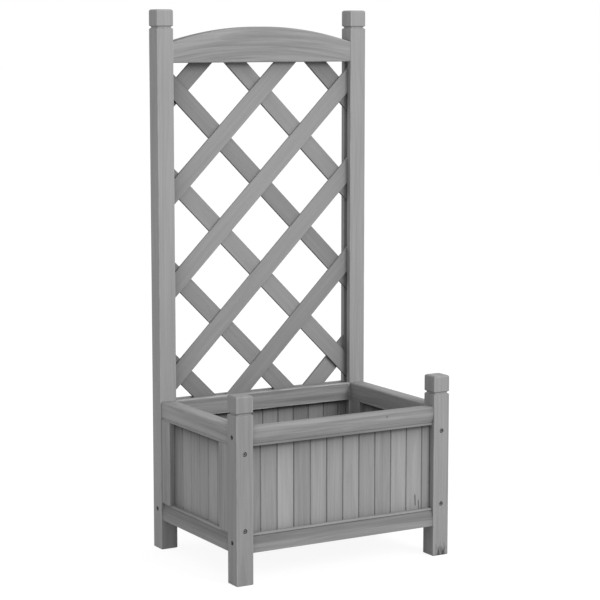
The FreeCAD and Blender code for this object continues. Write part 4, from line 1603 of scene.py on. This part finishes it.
@dataclass
class Lattice:
    """The slats between the rear posts: rising ones in front of falling ones.

    Two short rising slats, in two of the corners, lie behind the falling ones instead.
    """

    width: float = 0.030
    thickness: float = 0.005
    arris: float = 0.0007
    count: int = 6
    first: float = 0.1435
    pitch: float = 0.1557
    length: float = 1.1
    room: float = 0.002

    def build(self) -> None:
        """Build and dress every layer."""
        tree, count = crossed_slats(), self.count
        # The falling layer is duller than the rising one, partly as painted shade of the layer in
        # front and partly as its own tone; the sides of the falling and corner slats are painted
        # dark as shade.
        for layer in (Layer("front", "rising", range(2, count), 2105, 0.905, 0.0),
                      Layer("middle", "falling", range(1, count + 1), 3356, 0.845, 0.85),
                      Layer("corner", "rising", range(1, count + 1, count - 1), 2803, 0.90, 0.5)):
            self.lay(tree, layer)

    @staticmethod
    def recipe(layer: Layer) -> StainedWood:
        """Make a layer's wood, with painted shade near the frame that its slats run into.

        Args:
            layer: The layer.

        Returns:
            Its finish.
        """
        plain = RECIPES[Finish.SLAT]
        left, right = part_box("rear_post_left")[1].x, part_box("rear_post_right")[0].x
        rim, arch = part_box("rear_top_rail")[1].z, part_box("arch_rail")[0].z
        # painted shade near the left and right posts, under the arch and above the rail
        nook_shades = (NookShade(0, left, 1, 0.45, 0.020), NookShade(0, right, -1, 0.20, 0.030),
                 NookShade(2, arch, -1, 0.50, 0.018), NookShade(2, rim, 1, 0.15, 0.015))
        return replace(plain, name=f"{layer.name}_slat_wood", pale=plain.pale * layer.paleness,
                       deep=plain.deep * layer.paleness, sides=layer.sides, nook_shades=nook_shades)

    def lay(self, tree: Recurring, layer: Layer) -> None:
        """Build and dress one layer.

        Args:
            tree: The tree that lays slats.
            layer: The layer.
        """
        numbers, recipe = layer.numbers, self.recipe(layer)
        nodes = [f"{layer.way}_slat_{number}" for number in numbers]
        boxes = [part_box(node) for node in nodes]
        low = Vector(min(box[0][axis] for box in boxes) for axis in range(3))
        high = Vector(max(box[1][axis] for box in boxes) for axis in range(3))
        middle = (low + high) / 2
        corner = (self.width / 2, self.thickness / 2)
        outline = rectangle((-corner[0], -corner[1]), corner, self.arris)
        blank = swept(outline, UP * (-self.length / 2), UP * self.length)
        thing = tree.run(
            f"{layer.name}_lattice_slats", blank, recipe, Slats=len(numbers), Seed=layer.seed,
            First_Crossing=self.first + self.pitch * (numbers[0] - 1),
            Pitch=self.pitch * numbers.step,
            Lean=math.pi / 4 if layer.way == "rising" else -math.pi / 4,
            Width=self.width, Depth=self.thickness, Length=self.length, Level=middle.y,
            Field=tuple(high - low + AWAY * self.room), Field_Middle=tuple(middle))
        hand_over(thing, Finish.SLAT, nodes, recipe)


# ------------------------------------------------------------------------------------- floor

@dataclass
class Floor:
    """The slatted floor of the planting box and the two cleats under it."""

    arris: float = 0.001
    slat_width: float = 0.044
    gap: float = 0.005
    count: int = 7
    blank: float = 0.020
    seed: int = 2

    def build(self, row: Recurring) -> None:
        """Build and dress the floor.

        Args:
            row: The tree that repeats a board.
        """
        low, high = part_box("floor_slats")
        depth, length, half = high.z - low.z, high.y - low.y, self.blank / 2
        step, edge = self.slat_width + self.gap, self.gap / 2
        blank = swept(rectangle((-half, 0.0), (half, depth), self.arris), Vector(), UP * length)
        thing = row.run(
            "slatted_floor", blank, RECIPES[Finish.FLOOR], Boards=self.count, Seed=self.seed,
            Left_End=low.x - edge, Right_End=high.x + edge, First_Joint=low.x - edge + step,
            Last_Joint=high.x + edge - step, Blank=self.blank, Gap=self.gap, Length=length,
            Depth=depth, Unevenness=0.0, Vee=self.arris, Turn=(-math.pi / 2, 0.0, 0.0),
            Place=(0.0, low.y, high.z))
        hand_over(thing, Finish.FLOOR, ["floor_slats"])
        self.cleats()

    def cleats(self) -> None:
        """Build and dress the cleats that the floor lies on."""
        node = "floor_cleats"
        low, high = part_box(node)
        height = high.z - low.z
        outline = rectangle((0.0, 0.0), (height, height), self.arris)
        for name, foot in (("front", low.y), ("rear", high.y - height)):
            start = Vector((low.x, foot, low.z))
            thing = as_object(f"{name}_floor_cleat", swept(
                outline, start, RIGHT * (high.x - low.x), AWAY, UP))
            planed(thing, Stock(start, Vector((high.x, foot + height, high.z)), 0, 1), name)
            hand_over(thing, Finish.FLOOR, [node])


# ------------------------------------------------------------------------------------ screws

@dataclass
class Screws:
    """The sunk socket screws in the posts."""

    upper: float = 0.211
    lower: float = 0.088
    top_rail: float = 0.23675
    bottom_rail: float = 0.068
    sink: float = 0.0016
    head_radius: float = 0.0031
    head_height: float = 0.0032
    edge: float = 0.0004
    socket_radius: float = 0.0015
    socket_depth: float = 0.0018
    sides: int = 24
    seed: int = 8

    def build(self) -> None:
        """Build and dress every screw head, those of the short sides apart."""
        tree = sunk_screws()
        # Painted light and shade: the front and rear screws take the paler steel, those of the
        # short sides the dark.
        for name, sideways, nodes, recipe in (
                ("long_side", False, ["front_screws", "rear_screws"], LIT_FACE_STEEL),
                ("short_side", True, ["side_screws"], RECIPES[Finish.STEEL])):
            cloud = bmesh.new()
            direction = cloud.verts.layers.float_vector.new("inwards")
            for place, inwards in self.places():
                if (abs(inwards.x) > 0.5) is sideways:
                    cloud.verts.new(place)[direction] = inwards
            points = as_object("screw_places", cloud)
            thing = tree.run(f"{name}_socket_screws", self.blank(), recipe, Cloud=points,
                             Seed=self.seed)
            discard(points)
            hand_over(thing, Finish.STEEL, nodes, recipe)

    def blank(self) -> bmesh.types.BMesh:
        """Make one screw head with its hexagon socket, sunk below the origin along Z.

        Returns:
            The solid.
        """
        turns = [math.tau * side / self.sides for side in range(self.sides)]
        sixth = math.tau / 6
        flat = self.socket_radius * math.cos(sixth / 2)

        def section(depth: float, reach: Callable[[float], float]) -> list[Vector]:
            """Return a section at a depth, by its reach in each direction."""
            return [Vector((reach(turn) * math.cos(turn), reach(turn) * math.sin(turn),
                            self.sink + depth)) for turn in turns]

        def hexagon(turn: float) -> float:
            """Return the socket's reach in one direction."""
            return flat / math.cos(turn % sixth - sixth / 2)

        return lofted([
            section(self.head_height, lambda turn: self.head_radius),
            section(self.edge, lambda turn: self.head_radius),
            section(0.0, lambda turn: self.head_radius - self.edge),
            section(0.0, hexagon), section(self.socket_depth, hexagon)])

    def places(self) -> list[tuple[Vector, Vector]]:
        """Work out where the screws are.

        Returns:
            Where each meets the surface of its post, and the way that it goes in.
        """
        found = []
        low, high = CAD_BOX
        for end, end_name, face_y in ((-1, "front", low.y), (1, "rear", high.y)):
            for side, side_name, face_x in ((-1, "left", low.x), (1, "right", high.x)):
                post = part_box(f"{end_name}_post_{side_name}")
                middle = (post[0] + post[1]) / 2
                for height in (self.upper, self.lower):
                    found.append((Vector((middle.x, face_y, height)), AWAY * -end))
                for height in (self.top_rail, self.bottom_rail)[end > 0:]:
                    found.append((Vector((face_x, middle.y, height)), RIGHT * -side))
        return found


# ------------------------------------------------------------------------------------ studio

@dataclass
class Studio:
    """The camera, the lamp and the white room."""

    place: Corner = (-1.6344, -2.7992, 0.8621)
    pitch: float = 82.305
    yaw: float = -30.289
    lens: float = 118.7
    sensor: float = 36.0
    clip: Point = (0.05, 200.0)
    sky: float = 0.80
    floor: float = 0.48
    floor_size: float = 40.0
    glow: float = 1.3
    glow_share: float = 0.7
    key_power: float = 136.5
    key_size: float = 2.2
    key_place: Corner = (1.765, -3.92, 2.95)
    target: Corner = (0.0, 0.0, 0.4)

    def build(self) -> None:
        """Set up everything that isn't part of the object."""
        bpy.context.scene.view_settings.view_transform = "Standard"
        self.camera()
        self.key()
        self.world()
        self.ground()

    def camera(self) -> None:
        """Place the camera."""
        data = bpy.data.cameras.new("camera")
        data.lens, data.sensor_width = self.lens, self.sensor
        data.clip_start, data.clip_end = self.clip
        turn = (math.radians(self.pitch), 0.0, math.radians(self.yaw))
        bpy.context.scene.camera = placed("camera", data, self.place, turn)

    def key(self) -> None:
        """Hang the one large lamp, up and to the right of the camera."""
        data = bpy.data.lights.new("key", "AREA")
        data.energy, data.size = self.key_power, self.key_size
        way = Vector(self.target) - Vector(self.key_place)
        placed("key", data, self.key_place, way.to_track_quat("-Z", "Y").to_euler())

    @staticmethod
    def seen(graph: Graph) -> Term:
        """Tell which rays see the room.

        Args:
            graph: The tree to add the nodes to.

        Returns:
            1 for rays from the camera and by gloss or glass, and 0 for the rest.
        """
        path = graph.add("ShaderNodeLightPath").socket.node
        rays = [Term(graph, path.outputs[name])
                for name in ("Is Camera Ray", "Is Glossy Ray", "Is Transmission Ray")]
        return rays[0].most(rays[1]).most(rays[2])

    def world(self) -> None:
        """Light the object evenly from all round, in a room that looks white."""
        world = bpy.data.worlds.new("white_room")
        world.use_nodes = True
        graph = Graph(world.node_tree)
        strength = self.sky + self.seen(graph) * (1.0 - self.sky)
        light = graph.add("ShaderNodeBackground", {}, {0: grey(1.0), 1: strength})
        graph.add("ShaderNodeOutputWorld", {}, {0: light})
        bpy.context.scene.world = world

    def ground(self) -> None:
        """Lay a pale floor that keeps a faint shadow."""
        plane = bmesh.new()
        bmesh.ops.create_grid(plane, x_segments=1, y_segments=1, size=self.floor_size)
        thing = as_object("studio_floor", plane)
        material, graph = new_material("studio_white")
        matt = graph.add("ShaderNodeBsdfDiffuse", {}, {0: grey(self.floor)})
        glow = graph.add("ShaderNodeEmission", {}, {0: grey(1.0), 1: self.glow})
        both = graph.add("ShaderNodeMixShader", {}, {
            0: self.seen(graph) * self.glow_share, 1: matt, 2: glow})
        graph.add("ShaderNodeOutputMaterial", {}, {0: both})
        thing.data.materials.append(material)
        thing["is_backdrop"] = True


def write_sizes() -> None:
    """Work out the CAD model's box and the dressed model's box; nothing is written."""
    [[list(corner) for corner in box] for box in (CAD_BOX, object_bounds())]


def main() -> None:
    """Build every part of the planter, and then its studio."""
    logging.basicConfig(level=logging.INFO, format="%(message)s")
    screws = Screws()
    Posts().build(screws)
    BoxRails().build()
    ArchRail().build()
    row = board_row()
    BoardPanels().build(row)
    Lattice().build()
    Floor().build(row)
    screws.build()
    Studio().build()
    write_sizes()


if __name__ == "__main__":
    main()
